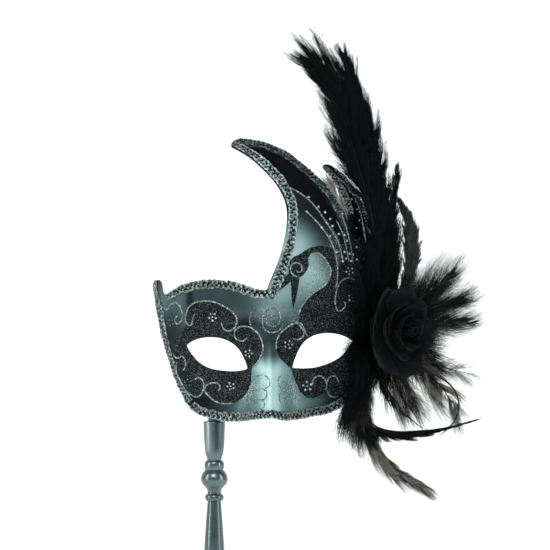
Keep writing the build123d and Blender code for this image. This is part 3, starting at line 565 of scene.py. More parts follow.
def field(name, loops, holes, top, mat, step=1.3, under=-0.03, uneven=0.05):
    """A thin coat on the shell inside the loops and outside the holes, from under out to top."""
    rim = [l for l in loops] + [h for h in holes]
    pts, edges, base = [], [], 0
    for l in rim:
        pts.append(l); k = len(l)
        edges += [(base + i, base + (i + 1) % k) for i in range(k)]; base += k
    allp = np.vstack(pts)
    lo, hi = allp.min(0), allp.max(0)
    gx, gz = np.meshgrid(np.arange(lo[0], hi[0], step), np.arange(lo[1], hi[1], step))
    g = np.stack([gx.ravel(), gz.ravel()], -1) + rng.uniform(-0.25, 0.25, (gx.size, 2)) * step
    keep = np.zeros(len(g), bool)
    for l in loops:
        keep |= inside(l, g)
    for h in holes:
        keep &= ~inside(h, g)
    g = g[keep]
    near = np.ones(len(g), bool)
    for s in range(0, len(allp), 200):
        near &= (np.linalg.norm(g[:, None] - allp[None, s:s + 200], axis=2) > step * 0.5).all(1)
    g = g[near]
    co = [Vector(p) for p in np.vstack([allp, g])]
    vv, _, ff, _, _, _ = delaunay_2d_cdt(co, edges, [], 0, 1e-5)
    v2 = np.array([(p.x, p.y) for p in vv]); f = np.array([t for t in ff if len(t) == 3])
    c = v2[f].mean(1)
    ok = np.zeros(len(c), bool)
    for l in loops:
        ok |= inside(l, c)
    for h in holes:
        ok &= ~inside(h, c)
    f = f[ok]
    used, inv = np.unique(f.ravel(), return_inverse=True)
    v2, f = v2[used], inv.reshape(-1, 3)
    e = np.vstack([f[:, [0, 1]], f[:, [1, 2]], f[:, [2, 0]]])
    key = np.sort(e, 1); uniq, idx, cnt = np.unique(key, axis=0, return_index=True, return_counts=True)
    border = e[idx[cnt == 1]]
    onrim = np.zeros(len(v2), bool); onrim[border.ravel()] = True
    h = np.where(onrim, under + (top - under) * 0.6, top + rng.uniform(-0.8, 1.0, len(v2)) * uneven)
    upper = surf(v2[:, 0], v2[:, 1], h); lower = surf(v2[:, 0], v2[:, 1], np.full(len(v2), under))
    a, b, cc = upper[f[:, 0]], upper[f[:, 1]], upper[f[:, 2]]
    nrm = np.cross(b - a, cc - a)
    flip = (nrm[:, 1] > 0) if top > under else (nrm[:, 1] < 0)
    f[flip] = f[flip][:, ::-1]
    e = np.vstack([f[:, [0, 1]], f[:, [1, 2]], f[:, [2, 0]]])
    key = np.sort(e, 1); uniq, idx, cnt = np.unique(key, axis=0, return_index=True, return_counts=True)
    border = e[idx[cnt == 1]]
    n = len(v2)
    walls = np.stack([border[:, 1], border[:, 0], border[:, 0] + n, border[:, 1] + n], -1)
    ob = build(name, np.vstack([upper, lower]), walls, np.vstack([f, f[:, ::-1] + n]), [mat])
    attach(ob, "root")
    return ob


PATCH_LEFT = plan([(181.5, 331.5), (185.5, 327.5), (187.5, 323), (186, 316.2), (188.3, 308.7), (193.9, 303.4), (201.4, 301.2), (210.8, 301.2), (220.2, 304),
                   (229.7, 309.6), (236.2, 316.2), (237.6, 322), (237.5, 326.6), (243, 325.8), (249, 326.6), (255, 329.4), (259.8, 335), (262.6, 342.6),
                   (263.1, 349.2), (260.7, 355.7), (256.9, 362.3), (252.0, 367.0), (251.6, 374), (251.4, 381), (248.5, 389), (243.5, 396), (236, 401.5),
                   (226, 402.6), (216, 400.4), (209, 395.4), (205.5, 390.5), (202.4, 392.8), (198.6, 396.2), (192, 395.2), (186.4, 390.5), (181.7, 384),
                   (177.9, 376.4), (175.4, 367), (173.4, 357), (173.2, 348), (175.6, 340), (178.4, 335)])
PATCH_RIGHT = plan([(291.0, 368.0), (285.0, 362.4), (279.4, 356.5), (276.4, 349), (276.6, 340.5), (280.2, 332.8), (286.4, 327), (293.5, 323.6),
                    (298.4, 321.0), (299.2, 314.7), (301.2, 307.6), (305.2, 301.0), (310.8, 294.8), (317.2, 290.0), (323.6, 286.0), (327.6, 281.8),
                    (330.6, 275.9), (331.0, 269.0), (327.8, 262.2), (322.8, 255.8), (316.8, 252.4), (311.2, 253.8), (308.4, 259.0), (308.8, 264.4),
                    (306.8, 270.4), (303.0, 275.2), (299.4, 277.4), (298.4, 284.4), (296.2, 297.0), (293.0, 309.8), (291.4, 298.0), (290.8, 286.0),
                    (290.6, 281.4), (284.4, 286.6), (277.6, 291.8), (270.6, 298.8), (273.6, 289.6), (280.6, 281.2), (288.8, 273.4), (288.2, 267.4),
                    (289.8, 261.0), (293.4, 257.0), (299.6, 254.4), (304.2, 251.0), (310.4, 247.6), (318.6, 246.0), (326.4, 246.8), (331.6, 249.4),
                    (334.2, 253.0), (336.6, 262.7), (337.6, 270.0), (341.0, 262.0), (341.0, 250.0), (346.5, 245.0), (353.5, 240.0), (361.0, 237.0),
                    (365.8, 245), (369.6, 262), (374.0, 281), (376.8, 300), (376.4, 324), (371.8, 344), (365.6, 361), (358.6, 376), (350.6, 388),
                    (343.6, 395.0), (337.0, 396.4), (330.4, 393.0), (326.2, 389.2), (321.0, 394.0), (313.6, 397.6), (306.4, 396.6), (300.0, 390.6),
                    (295.6, 381.6), (292.6, 373.4)])
CREST_FIELD = plan([(246, 146.2), (263, 148.6), (285.6, 158.9), (305.8, 176.6), (321.8, 194.2), (333.6, 210.6), (342.6, 226.2), (345.4, 241.0), (341.2, 246.0),
                    (338.7, 238.3), (333, 228.5), (326.5, 218.8), (318.4, 207), (308.6, 197.3), (298.1, 191.1), (290.6, 187.6), (287.5, 181.5),
                    (277, 169), (262, 156.5)])
SMALL_FIELD = plan([(333.5, 179.5), (342, 184.5), (350.5, 194.5), (357.5, 208), (361.5, 222), (363.5, 234.0), (356.0, 238.0), (351.0, 232.5), (352.2, 222.0),
                    (352.0, 211.5), (348.5, 200.0), (341.5, 188.5)])
EYE_RIMS = [smooth_loop(e, 1.1) for e in EYES]
field("coat_eye_left", [straight_loop(PATCH_LEFT, 0.9)], [EYE_RIMS[0]], 0.30, GLIT_BLACK)
field("coat_swan_body", [straight_loop(PATCH_RIGHT, 0.9)], [EYE_RIMS[1]], 0.30, GLIT_BLACK)
field("coat_crest_top", [straight_loop(CREST_FIELD, 1.2)], [], 0.14, BLACK, 1.8)
field("coat_crest_small", [straight_loop(SMALL_FIELD, 1.2)], [], 0.14, BLACK, 1.8)

# felt lining behind the shell, cut back from the edge and the eye holes
LINING_CUT = [[(-37.5, 276.5), (-30.0, 278.0), (-18.0, 282.6), (-4.0, 285.4), (12.0, 284.6), (24.0, 281.2), (36.0, 279.2), (54.0, 280.0), (80.0, 282.0),
               (100.0, 282.5), (112.5, 281.0)],
              [(112.5, 281.0), (115.6, 272.0), (115.3, 257.8), (112.2, 245.8), (107.8, 233.4), (102.8, 221.8), (96.6, 212.0), (89.8, 205.0)],
              [(89.8, 205.0), (81.0, 200.2), (71.5, 197.8), (61.8, 196.0), (51.9, 195.0), (38.1, 197.3), (21.8, 194.8), (11.7, 194.2), (2.2, 195.1),
               (-5.2, 196.8), (-11.4, 199.6), (-16.8, 204.8)],
              [(-16.8, 204.8), (-21.7, 213.9), (-25.6, 223.4), (-29.6, 235.9), (-33.5, 248.4), (-36.0, 260.0), (-37.5, 276.5)]]
LINING_EYES = [[[(-22.4, 243.2), (-17.0, 248.2), (-4.6, 251.8), (8.6, 250.3), (21.0, 240.4), (26.4, 225.4)],
                [(26.4, 225.4), (12.0, 222.4), (-5.2, 224.6), (-18.0, 235.4), (-22.4, 243.2)]],
               [[(51.6, 225.8), (56.2, 241.4), (66.2, 252.2), (82.0, 254.8), (94.4, 251.2), (100.0, 246.6)],
                [(100.0, 246.6), (91.2, 233.6), (77.0, 226.2), (62.0, 224.3), (51.6, 225.8)]]]


def cut_loop(runs, step, wander):
    out = []
    for r in runs:
        q, _ = spline(np.array(r), 300)
        out.append(spline(np.array(r), max(6, int(length_of(q) / step)))[0][:-1])
    q = np.vstack(out)
    return q + rng.normal(0, wander, q.shape)


lining = field("lining_felt", [cut_loop(LINING_CUT, 1.3, 0.07)], [cut_loop(e, 1.2, 0.06) for e in LINING_EYES], -2.42, FELT, 1.35, -1.88, 0.05)
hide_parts("felt_lining")
zz = np.linspace(-37.5, 116.1, 200)

# loose grains over the coats, and silver dust on the bare paint beside them
heap = Heap()
for poly, hole, count in ((PATCH_LEFT, EYE_RIMS[0], 2600), (PATCH_RIGHT, EYE_RIMS[1], 3400)):
    lo, hi = poly.min(0), poly.max(0)
    p = rng.uniform(lo, hi, (count * 2, 2)); p = p[inside(poly, p) & ~inside(hole, p)][:count]
    heap.grains(surf(p[:, 0], p[:, 1], np.full(len(p), 0.34)), rng.uniform(0.08, 0.16, len(p)), 0)
    k = rng.random(len(p)) < 0.10
    heap.grains(surf(p[k, 0] + 0.4, p[k, 1] + 0.3, np.full(k.sum(), 0.40)), rng.uniform(0.07, 0.14, k.sum()), 1)
ob = heap.make("grains_black", [GLIT_BLACK, GLIT_SILVER], smooth=False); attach(ob, "root")

heap = Heap()
DUST = [((320, 272), 9, 16, 520), ((313, 288), 8, 6, 160), ((256, 384), 7, 14, 420), ((289, 384), 6, 14, 360), ((284, 312), 9, 8, 300), ((271, 317), 11, 9, 380),
        ((262, 402), 12, 4, 160), ((296, 318), 5, 6, 120), ((248, 399), 7, 4, 90), ((345, 252), 9, 12, 160), ((344, 214), 5, 16, 120)]
for (u, v), su, sv, count in DUST:
    p = np.stack([rng.normal(u, su * 0.6, count), rng.normal(v, sv * 0.6, count)], -1); p = plan(p)
    ok = ~inside(PATCH_LEFT, p) & ~inside(PATCH_RIGHT, p) & ~inside(EYE_RIMS[0], p) & ~inside(EYE_RIMS[1], p) & (p[:, 1] > 196) & (p[:, 0] > 8)
    p = p[ok]
    heap.grains(surf(p[:, 0], p[:, 1], np.full(len(p), 0.06)), rng.uniform(0.09, 0.22, len(p)), 0)
ob = heap.make("grains_silver", [GLIT_SILVER], smooth=False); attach(ob, "root")


# ------------------------------------------------------------------ raised glitter-glue lines, dots and flowers
def bead_line(heap, pts, width, mat, height=0.5, base=0.15):
    q, _ = spline(plan(pts), 300)
    n = max(8, int(length_of(q) / 0.35))
    q, _ = spline(plan(pts), n)
    s = np.linspace(0, 1, n)
    taper = np.clip(np.minimum(s, 1 - s) * n / 5.0, 0.35, 1.0)
    r = width / 2 * taper * (1 + 0.16 * rng.standard_normal(n))
    q = q + rng.normal(0, 0.07, q.shape)
    heap.tube(surf(q[:, 0], q[:, 1], np.full(n, base)), r, 7, normal_at(q[:, 0], q[:, 1]), mat, height / (width / 2) * 0.9)


SILVER_LINES = [
    [(162, 307.8), (166.6, 309.6), (170.4, 305), (176, 303), (180.7, 307.8), (182.6, 315.3), (180.7, 321.9), (177, 323.8), (175, 320), (178, 315.3)],
    [(194.9, 313.4), (193, 320), (190.1, 325.6), (186.8, 322.8), (186, 316.2), (188.3, 308.7), (193.9, 303.4), (201.4, 301.2), (210.8, 301.2),
     (220.2, 304), (229.7, 309.6), (236.2, 316.2), (237.2, 321.9), (233.4, 328.5), (227.8, 330.3), (223.1, 326.6), (221.8, 321)],
    [(247.5, 336), (244.7, 339.8), (239, 339.8), (235.3, 336), (235.3, 330.3), (240, 326.6), (247.5, 326), (255, 329.4), (259.8, 335), (262.6, 342.6),
     (263.1, 349.2), (260.7, 355.7), (256.9, 362.3), (252.2, 366)],
    [(172.3, 353), (175.1, 357.6), (178, 358.5), (182, 356.5), (185.4, 361.4), (184.9, 368), (182.6, 371.7)],
    [(177, 361.4), (176, 368.9), (177.9, 376.4), (181.7, 384), (186.4, 390.5), (192, 395.2), (198.6, 396.2), (202.4, 392.4), (204.3, 385.8),
     (202.4, 379.3), (198.6, 377.4), (194.3, 380.2)],
    [(217.4, 390.5), (220.6, 387.7), (218.4, 383), (212.7, 382.4), (207.1, 384.9), (204.8, 388.6), (208, 394.3), (214.6, 400), (224, 402.8), (233.4, 402.4)],
    [(291.6, 337.4), (297.3, 339), (302.1, 336.6), (303.8, 332.6), (301.3, 326.9), (297.6, 322.8)],
    [(308.6, 336.6), (305.4, 332.6), (303.8, 328.5), (301.3, 323.6), (296.4, 322.5), (290.8, 324.4), (285.9, 327.7), (280.4, 332.6), (276.6, 340.5),
     (276.2, 349)],
    [(312.2, 385.4), (312.7, 379.7), (316, 376.1), (320.8, 375.6), (324.9, 379.7), (326.5, 385.4), (324.9, 389.4)],
    [(326.5, 386.2), (327.3, 379.7), (330.6, 376.1), (334.7, 376.1), (337.6, 379.7), (338.2, 382.9)],
    [(326.5, 389.4), (329, 394.3), (333, 396.8), (337.9, 395.9)],
    [(308.6, 265.9), (308.6, 259.4), (311.1, 254.5), (316.8, 252.9), (322.5, 256.2), (327.3, 262.7), (330.6, 269.2), (330.1, 275.7), (327.3, 282.2),
     (323.3, 286.2), (316.8, 290.3), (310.3, 295.2), (304.6, 301.7), (300.5, 308.2), (298.6, 314.7)],
    [(298.1, 277.3), (293.2, 274.8), (290.4, 270), (291.1, 265.1), (294.8, 263), (299.7, 264), (302.1, 268.3), (300.5, 271.6), (297.6, 272.1), (295.6, 269.5)],
    [(355.8, 280.5), (350.9, 278.1), (345.2, 278.6), (340.3, 282.2), (336.6, 290.3), (335.1, 298.4), (335.5, 306.5), (337.9, 311.1), (342.8, 309),
     (345.2, 304.1), (342.8, 300.9)],
]
WING_LINES = [
    [(306.2, 211.5), (311.1, 216.3), (316, 221.2), (321.6, 227.7), (327.3, 235.8), (331.4, 243.1), (334.7, 252.9), (336.8, 262.7), (337.4, 274),
     (336.3, 283.8), (335, 288.7)],
    [(288.6, 187.3), (297.4, 191.9), (307.4, 199.0), (316.6, 208.8), (324.6, 220.2), (331.2, 230.0), (337.0, 240.0), (340.8, 250.8), (342.8, 262.9)],
    [(336.3, 220.4), (341.1, 230.1), (345.2, 243.1), (347.7, 256.2), (349.3, 262.7)],
    [(341.1, 213.9), (346, 226.9), (349.3, 239.9), (351.7, 252.9), (353, 264.3)],
]
FAINT_LINES = [
    [(257.9, 305.9), (252.2, 310.6), (250.3, 318.1), (251.3, 325.6), (256, 331.3), (260.7, 333.2)],
    [(262.6, 320), (264.4, 313.4), (270.1, 308.7), (276.7, 309.6), (280.4, 315.3), (279.5, 321.9), (274.8, 325.6), (269.2, 324.7), (266.3, 320),
     (269.2, 315.3), (273.9, 316.2)],
    [(262.6, 320), (263.6, 326.5), (268.6, 331.2), (275.6, 331.4), (281.2, 327.6), (283.6, 321.5)],
]
NOSE_LINES = [
    [(255.8, 375.6), (261.5, 374), (267.2, 375.6), (270, 380.5), (268, 385.4), (263, 386.2)],
    [(261.5, 387), (266.4, 389.4), (266.7, 394.3), (263.1, 397.6), (258.3, 397.6)],
    [(262.3, 398.4), (264.8, 402.4), (262.3, 406), (257, 407)],
    [(282.6, 374.5), (279.4, 375.6), (278.1, 379.7), (279.4, 384.6), (281, 388.6), (279.4, 393.5), (279.7, 398.4), (281.8, 402.4)],
]
heap = Heap()
for l in SILVER_LINES:
    bead_line(heap, l, 1.10, 0)
for l in WING_LINES:
    bead_line(heap, l, 0.95, 1)
bead_line(heap, [(338.5, 177.5), (345.5, 184.0), (352.5, 193.5), (357.6, 203.0), (361.4, 214.5), (364.0, 228.0), (366.0, 242.0)], 1.15, 1, 0.5, 0.2)
for l in FAINT_LINES:
    bead_line(heap, l, 1.20, 2, 0.38, 0.05)
for l in NOSE_LINES:
    bead_line(heap, l, 0.75, 2, 0.25, 0.03)
bead_line(heap, [(160.5, 300), (163.2, 318), (166.5, 336), (171, 356), (176.5, 376), (182, 391)], 0.8, 2, 0.3, 0.05)
ob = heap.make("glue_lines", [GLIT_LINE, GLIT_LINE, GLIT_GREY]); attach(ob, "root")

heap = Heap()


def dot(u, v, r, mat=0, lift=0.22):
    p = plan([(u, v)])[0]
    heap.dome(surf(p[0], p[1], lift), normal_at(p[0], p[1]), r, r * 0.62, mat)


for (u, v), pitch, r, mat in (((213.1, 316.8), 3.5, 0.92, 0), ((248.8, 352.9), 3.3, 0.92, 0), ((231.2, 385.5), 3.4, 0.92, 0), ((187.9, 382.6), 3.0, 0.72, 1),
                              ((170.4, 322.8), 3.0, 0.68, 1), ((288.2, 343.9), 3.7, 0.88, 0), ((307.0, 385.4), 4.1, 1.05, 0), ((352.0, 297.6), 3.6, 0.9, 0),
                              ((349.6, 271.1), 3.4, 0.9, 0)):
    turn = rng.uniform(0, 1.2)
    for i in range(5):
        a = turn + i * 2 * math.pi / 5
        dot(u + pitch * math.cos(a), v + pitch * math.sin(a), r * 0.80 * rng.uniform(0.85, 1.1), mat)
    if pitch > 3.2:
        dot(u, v, r * 0.55, mat)
for cx, cy in ((330, 168), (390, 228), (462, 302), (408, 355), (460, 408), (500, 505), (515, 395), (548, 400), (565, 435), (550, 505), (582, 515),
               (540, 562), (590, 560), (625, 475), (628, 550), (535, 270), (318, 258), (430, 260), (475, 345), (560, 545), (604, 520)):
    dot(255 + cx / 6.152, 170 + cy / 6.152, 0.85, 0, 0.16)
for u, v in ((342.0, 184.6), (349.6, 191.4), (355.6, 201.2), (359.8, 211.6), (362.6, 223.0), (364.6, 234.4), (357.0, 209.0), (359.6, 220.0), (352.0, 199.0), (356.6, 228.0)):
    dot(u, v, 0.62, 0, 0.2)
ob = heap.make("glue_dots", [GLIT_PALE, GLIT_SILVER]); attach(ob, "root")


# ------------------------------------------------------------------ gimp braid
EAR_LEFT = [(-43.0, 282.4), (-43.0, 285.6), (-41.8, 288.0), (-39.8, 288.8)]
BROW = [(-34.2, 278.2), (-30.4, 280.6), (-25.4, 283.7), (-18.4, 286.3), (-12.8, 287.8), (-6.3, 288.7), (1.7, 288.7), (11.7, 287.9), (21.8, 285.2),
        (29.8, 282.4), (36.8, 282.0)]
CREST_FRONT = [(36.8, 282.0), (39.3, 288.8), (44.3, 300.9), (48.4, 314.8), (50.6, 328.7), (50.1, 340.4), (46.7, 349.6), (40.9, 358.4), (33.9, 365.8),
               (26.9, 372.3), (19.9, 377.2), (12.1, 381.5)]
CREST_BACK = [(17.3, 387.4), (22.3, 387.0), (31.6, 385.6), (40.9, 382.7), (50.2, 378.1), (59.4, 371.6), (68.7, 363.6), (76.8, 356.0), (82.7, 348.5),
              (87.3, 340.4), (90.8, 335.2), (93.7, 330.4)]
SMALL_FRONT = [(93.7, 330.4), (91.9, 339.5), (88.4, 348.1), (84.6, 355.2), (80.3, 361.6), (75.6, 367.2)]
SMALL_BACK = [(85.2, 366.8), (92.2, 360.8), (98.5, 352.5), (103.7, 342.6), (107.6, 330.7), (110.7, 316.7), (113.5, 302.7), (116.7, 288.7)]
RIGHT_SIDE = [(116.7, 288.7), (118.9, 274.7), (118.4, 257.2), (115.3, 244.6), (110.7, 232.0), (105.5, 220.1), (98.8, 209.6), (91.8, 202.2)]
BOTTOM = [(91.8, 202.2), (82.0, 196.9), (71.9, 194.5), (62.1, 192.8), (51.9, 191.7), (45.6, 192.6), (38.1, 194.1), (30.2, 192.8), (21.8, 191.4),
          (11.7, 190.8), (1.9, 191.9), (-6.3, 193.5), (-13.4, 196.7), (-19.4, 202.6)]
LEFT_SIDE = [(-19.4, 202.6), (-24.4, 212.4), (-28.4, 222.2), (-32.4, 234.8), (-36.3, 247.4), (-39.1, 259.3), (-41.5, 271.9), (-43.0, 282.4)]


def gimp_braid(node, pts, near, far, pitch=2.5, lo=0.0, hi=1.0, rows=2, thick=0.34, cords=None):
    n0 = 400
    q, t = spline(pts, n0)
    i0, i1 = int(lo * (n0 - 1)), int(hi * (n0 - 1)) + 1
    q, t = q[i0:i1], t[i0:i1]
    side = np.stack([-t[:, 1], t[:, 0]], -1)
    u = np.linspace(lo, hi, len(q))
    nr = np.interp(u, np.linspace(0, 1, len(np.atleast_1d(near))), np.atleast_1d(near)) if np.ndim(near) else np.full(len(q), near)
    fr = np.interp(u, np.linspace(0, 1, len(far)), far) if np.ndim(far) else np.full(len(q), far)
    mid = q + side * ((nr + fr) / 2)[:, None]
    half = np.abs(fr - nr) / 2
    three = surf(mid[:, 0], mid[:, 1], np.zeros(len(mid)))
    s = np.r_[0, np.cumsum(np.linalg.norm(np.diff(three, axis=0), axis=1))]
    total = s[-1]

    def at(ss, across, lift):
        ss = np.clip(ss, 0, total)
        x = np.interp(ss, s, mid[:, 0]); z = np.interp(ss, s, mid[:, 1])
        sx = np.interp(ss, s, side[:, 0]); sz = np.interp(ss, s, side[:, 1]); h = np.interp(ss, s, half)
        x2, z2 = x + sx * across * h, z + sz * across * h
        return surf(x2, z2, lift), normal_at(x2, z2)
    heap = Heap()
    # backing tape
    n = max(10, int(total / 1.2)); ss = np.linspace(0, total, n)
    ring = []
    for a, l in ((-0.74, 0.02), (-0.74, 0.26), (0.0, 0.38), (0.74, 0.26), (0.74, 0.02)):
        ring.append(at(ss, np.full(n, a), np.full(n, l))[0])
    ring = np.stack(ring, 1); k = ring.shape[1]
    i = np.arange(n - 1)[:, None] * k; j = np.arange(k)[None]; jj = (j + 1) % k
    qd = np.stack([i + j, i + jj, i + k + jj, i + k + j], -1).reshape(-1, 4)
    v = np.vstack([ring.reshape(-1, 3), ring[0].mean(0)[None], ring[-1].mean(0)[None]])
    caps = [(n * k, (a + 1) % k, a) for a in range(k)] + [(n * k + 1, (n - 1) * k + a, (n - 1) * k + (a + 1) % k) for a in range(k)]
    heap.add(v, qd, caps, 3)
    turns = max(4, int(round(total / pitch))); p = total / turns
    steps = 20
    for r in ((-1, 1) if rows == 2 else (0,)):
        size = rng.uniform(0.74, 1.20, turns + 1); shift = rng.normal(0, 0.11, turns + 1); high = rng.normal(0, 0.16, turns + 1); outw = rng.normal(0, 0.10, turns + 1)
        for j, (amp, q, lift0, mat) in enumerate(((0.47, 0.43, 0.60, 0), (0.27, 0.27, 0.72, 1), (0.08, 0.10, 0.84, 2))):
            f = np.arange(turns * steps + 1) / steps
            ph = 2 * math.pi * f + (math.pi if r > 0 else 0)
            k = np.arange(turns + 1)
            big, sh, hi_, ow = np.interp(f, k, size), np.interp(f, k, shift), np.interp(f, k, high), np.interp(f, k, outw)
            along = p * (f + sh + q * big * np.sin(ph))
            across = r * (0.50 + ow * 0.5) + (0.94 if r == 0 else 1.0) * (r if r else 1) * (amp if r else amp * 1.9) * big * np.cos(ph)
            lift = lift0 + 0.36 * np.sin(ph + 0.5) + hi_
            pos, nn = at(along, across, np.clip(lift, 0.25, 1.3))
            wound = 1 + 0.20 * np.sin(2 * math.pi * 4.7 * f + j) + 0.10 * rng.standard_normal(len(f))
            heap.tube(pos, thick * (1.08 if j < 2 else 0.95) * wound, 5, nn, mat, 0.95)
    name = "gimp_" + node[6:]
    ob = heap.make(name, cords or [GIMP_A, GIMP_B, GIMP_C, GIMP_BACK])
    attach(ob, "root"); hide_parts(node)
    return ob


TEMPLE = LEFT_SIDE + EAR_LEFT[1:]
gimp_braid("braid_temple", TEMPLE, 0.2, [-5.0, -4.2, -3.3, -3.0, -3.0, -3.1, -3.4, -3.9, -4.0, -3.2, -2.2, -1.8], 2.9, 0.0, 0.985)
gimp_braid("braid_brow", BROW + [(42.5, 281.4)], 0.3, [-4.2, -5.2, -5.9, -6.2, -6.2, -6.2, -6.2, -5.6], 3.5, 0.0, 1.0)
gimp_braid("braid_crest_front", CREST_FRONT, -1.3, [-8.4, -8.2, -7.9, -7.6, -7.4, -7.2, -6.9, -6.2, -4.6], 3.5, 0.0, 1.0)
# the crest's upper back edge gets the darker braid copies: painted shade
gimp_braid("braid_crest_back", CREST_BACK, 0.3, [-2.6, -3.6, -4.0, -4.1, -4.1, -4.1, -4.0, -3.9], 3.1, 0.0, 0.95, 2, 0.34, [GIMP_DARK, GIMP_DEEP, GIMP_DEEP, GIMP_BACK])
gimp_braid("braid_small_crest_front", SMALL_FRONT, 0.3, [-3.9, -4.6, -4.8, -4.2, -2.6], 3.0, 0.10, 1.0)
gimp_braid("braid_small_crest_back", SMALL_BACK, -0.3, [-2.0, -2.2, -2.2, -2.2, -2.2], 2.2, 0.0, 1.0, 1, 0.30, [GIMP_A, GLIT_LINE, GIMP_B, GIMP_BACK])
gimp_braid("braid_far_side", RIGHT_SIDE, 0.2, [-2.8, -2.9, -3.0, -3.4, -4.2, -5.2], 2.9, 0.03, 0.97)
gimp_braid("braid_lower", BOTTOM, 0.4, [-5.4, -5.8, -5.8, -5.8, -5.8, -5.8, -5.6, -5.0], 3.4, 0.0, 0.97)

# ------------------------------------------------------------------ rose
R_AT = np.array((113.0, 11.7, 254.0)); K = math.sqrt(0.5)
OUT = np.array((K, -K, 0.0)); SIDE = np.array((K, K, 0.0)); UP = np.array((0.0, 0.0, 1.0))
BUD_H = 10.9


def rose_point(h, r, a):
    h, r, a = np.broadcast_arrays(np.asarray(h, float), np.asarray(r, float), np.asarray(a, float))
    return R_AT + OUT * h[..., None] + SIDE * (r * np.cos(a))[..., None] + UP * (r * np.sin(a))[..., None]


def sheet_object(name, grid, thick, node, mat=None):
    """A cloth sheet from a grid of mid-surface points, given its thickness; its flat width and length are measured."""
    g = np.asarray(grid, float); n, m = g.shape[:2]
    du = np.gradient(g, axis=0); dv = np.gradient(g, axis=1)
    nr = np.cross(du, dv); nr /= np.linalg.norm(nr, axis=2)[..., None] + 1e-9
    rim = np.ones((n, m)); rim[0] = rim[-1] = 0.45; rim[:, 0] = rim[:, -1] = 0.45
    a, b = g + nr * (thick / 2 * rim)[..., None], g - nr * (thick / 2 * rim)[..., None]
    v = np.vstack([a.reshape(-1, 3), b.reshape(-1, 3)]); N = n * m
    i = np.arange(n - 1)[:, None] * m; j = np.arange(m - 1)[None]
    top = np.stack([i + j, i + m + j, i + m + j + 1, i + j + 1], -1).reshape(-1, 4)
    bot = top[:, ::-1] + N
    ring = np.concatenate([np.arange(m), m * np.arange(1, n) + m - 1, (n - 1) * m + np.arange(m - 2, -1, -1), m * np.arange(n - 2, 0, -1)])
    nx = np.roll(ring, -1)
    wall = np.stack([ring, nx, nx + N, ring + N], -1)
    ob = build(name, v, np.vstack([top, bot, wall]), None, [mat or CLOTH])
    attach(ob, "root"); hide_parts(node)
    wid = max(np.linalg.norm(np.diff(g[k], axis=0), axis=1).sum() for k in range(n)); wid = float(wid)
    ln = max(np.linalg.norm(np.diff(g[:, k], axis=0), axis=1).sum() for k in range(m)); ln = float(ln)
    return ob




def petal(name, node, turn, span, rad, base, rim, curl, ruffle, seed, n=26, m=34, tip=0.0, roll=0.0):
    g = np.random.default_rng(seed)
    t = np.linspace(0.0, 1.0, n)[:, None]; u = np.linspace(-1, 1, m)[None]
    ph = g.uniform(0, 6.28, 4)
    te = t * (1 - (0.20 + 0.05 * g.random()) * np.abs(u) ** 3.2 + 0.04 * np.exp(-(u / 0.25) ** 2))
    wide = np.clip(0.42 + 0.72 * te ** 0.7 - 0.16 * te ** 5, 0, 1.2)
    a = math.radians(turn) + math.radians(span) / 2 * u * wide
    bend = te * math.pi / 2
    r = 2.5 + (rad - 2.5) * np.sin(bend) ** 0.95
    h = BUD_H + base + (rim - base) * (1 - np.cos(bend)) ** 0.9
    edge = te ** 5
    r = r + curl * edge * (1 + 0.35 * np.sin(3 * u + ph[0]))
    h = h - curl * 0.55 * te ** 9 * (1 + 0.6 * np.sin(2 * u + ph[1]))
    w = ruffle * te ** 2.4
    wave = np.sin(5.5 * u + ph[2]) + 0.6 * np.sin(10.5 * u + ph[3]) + 0.3 * np.sin(17 * u + ph[1])
    r = r + w * wave * 0.75
    h = h + w * wave * 0.55 + 0.25 * np.sin(9 * te + 4 * u + ph[0]) * te
    h = h + roll * np.abs(u) ** 2 * te
    fold = np.exp(-((u - g.uniform(-0.4, 0.4)) / 0.10) ** 2) * te ** 1.2 * (1 - 0.4 * te)
    r = r - 0.9 * fold
    sheet_object(name, rose_point(h, r, a), 0.36, node)


# rolled heart
f = np.linspace(0, 1, 60)[None]; z = np.linspace(0, 1, 12)[:, None]
rr = (2.0 + 3.5 * f) * (0.62 + 0.5 * z - 0.16 * z ** 3) + 0.25 * np.sin(14 * f + 3 * z)
hh = BUD_H + 12.2 + z * (15.5 - 3.5 * f + 0.9 * np.sin(9 * f)) + 0 * f
sheet_object("rose_heart", rose_point(hh, rr, f * 2.4 * 2 * math.pi + 0.25 * z), 0.34, "rose_bud")
for i, (tn, sp, rd, bs, rm) in enumerate([(10, 165, 7.6, 9.5, 27.0), (135, 165, 9.8, 8.8, 26.6), (255, 165, 12.2, 8.0, 26.0)]):
    petal(f"rose_petal_inner_{i + 1}", "rose_inner_petals", tn, sp, rd, bs, rm, 1.6, 0.55, 30 + i)
for i, (tn, sp, rd, bs, rm) in enumerate([(40, 140, 14.8, 6.6, 24.5), (128, 140, 17.2, 5.8, 23.4), (218, 140, 19.4, 5.0, 22.2), (308, 140, 21.6, 4.2, 20.8)]):
    petal(f"rose_petal_middle_{i + 1}", "rose_middle_petals", tn, sp, rd, bs, rm, 2.8, 1.25, 40 + i)
for i, (tn, sp, rd, bs, rm) in enumerate([(0, 112, 24.0, 3.8, 19.0), (72, 112, 25.6, 3.1, 17.4), (144, 112, 27.2, 2.4, 16.0), (216, 112, 28.4, 1.8, 14.6),
                                          (288, 112, 29.6, 1.2, 13.2)]):
    petal(f"rose_petal_outer_{i + 1}", "rose_outer_petals", tn, sp, rd, bs, rm, 3.8, 1.75, 50 + i)


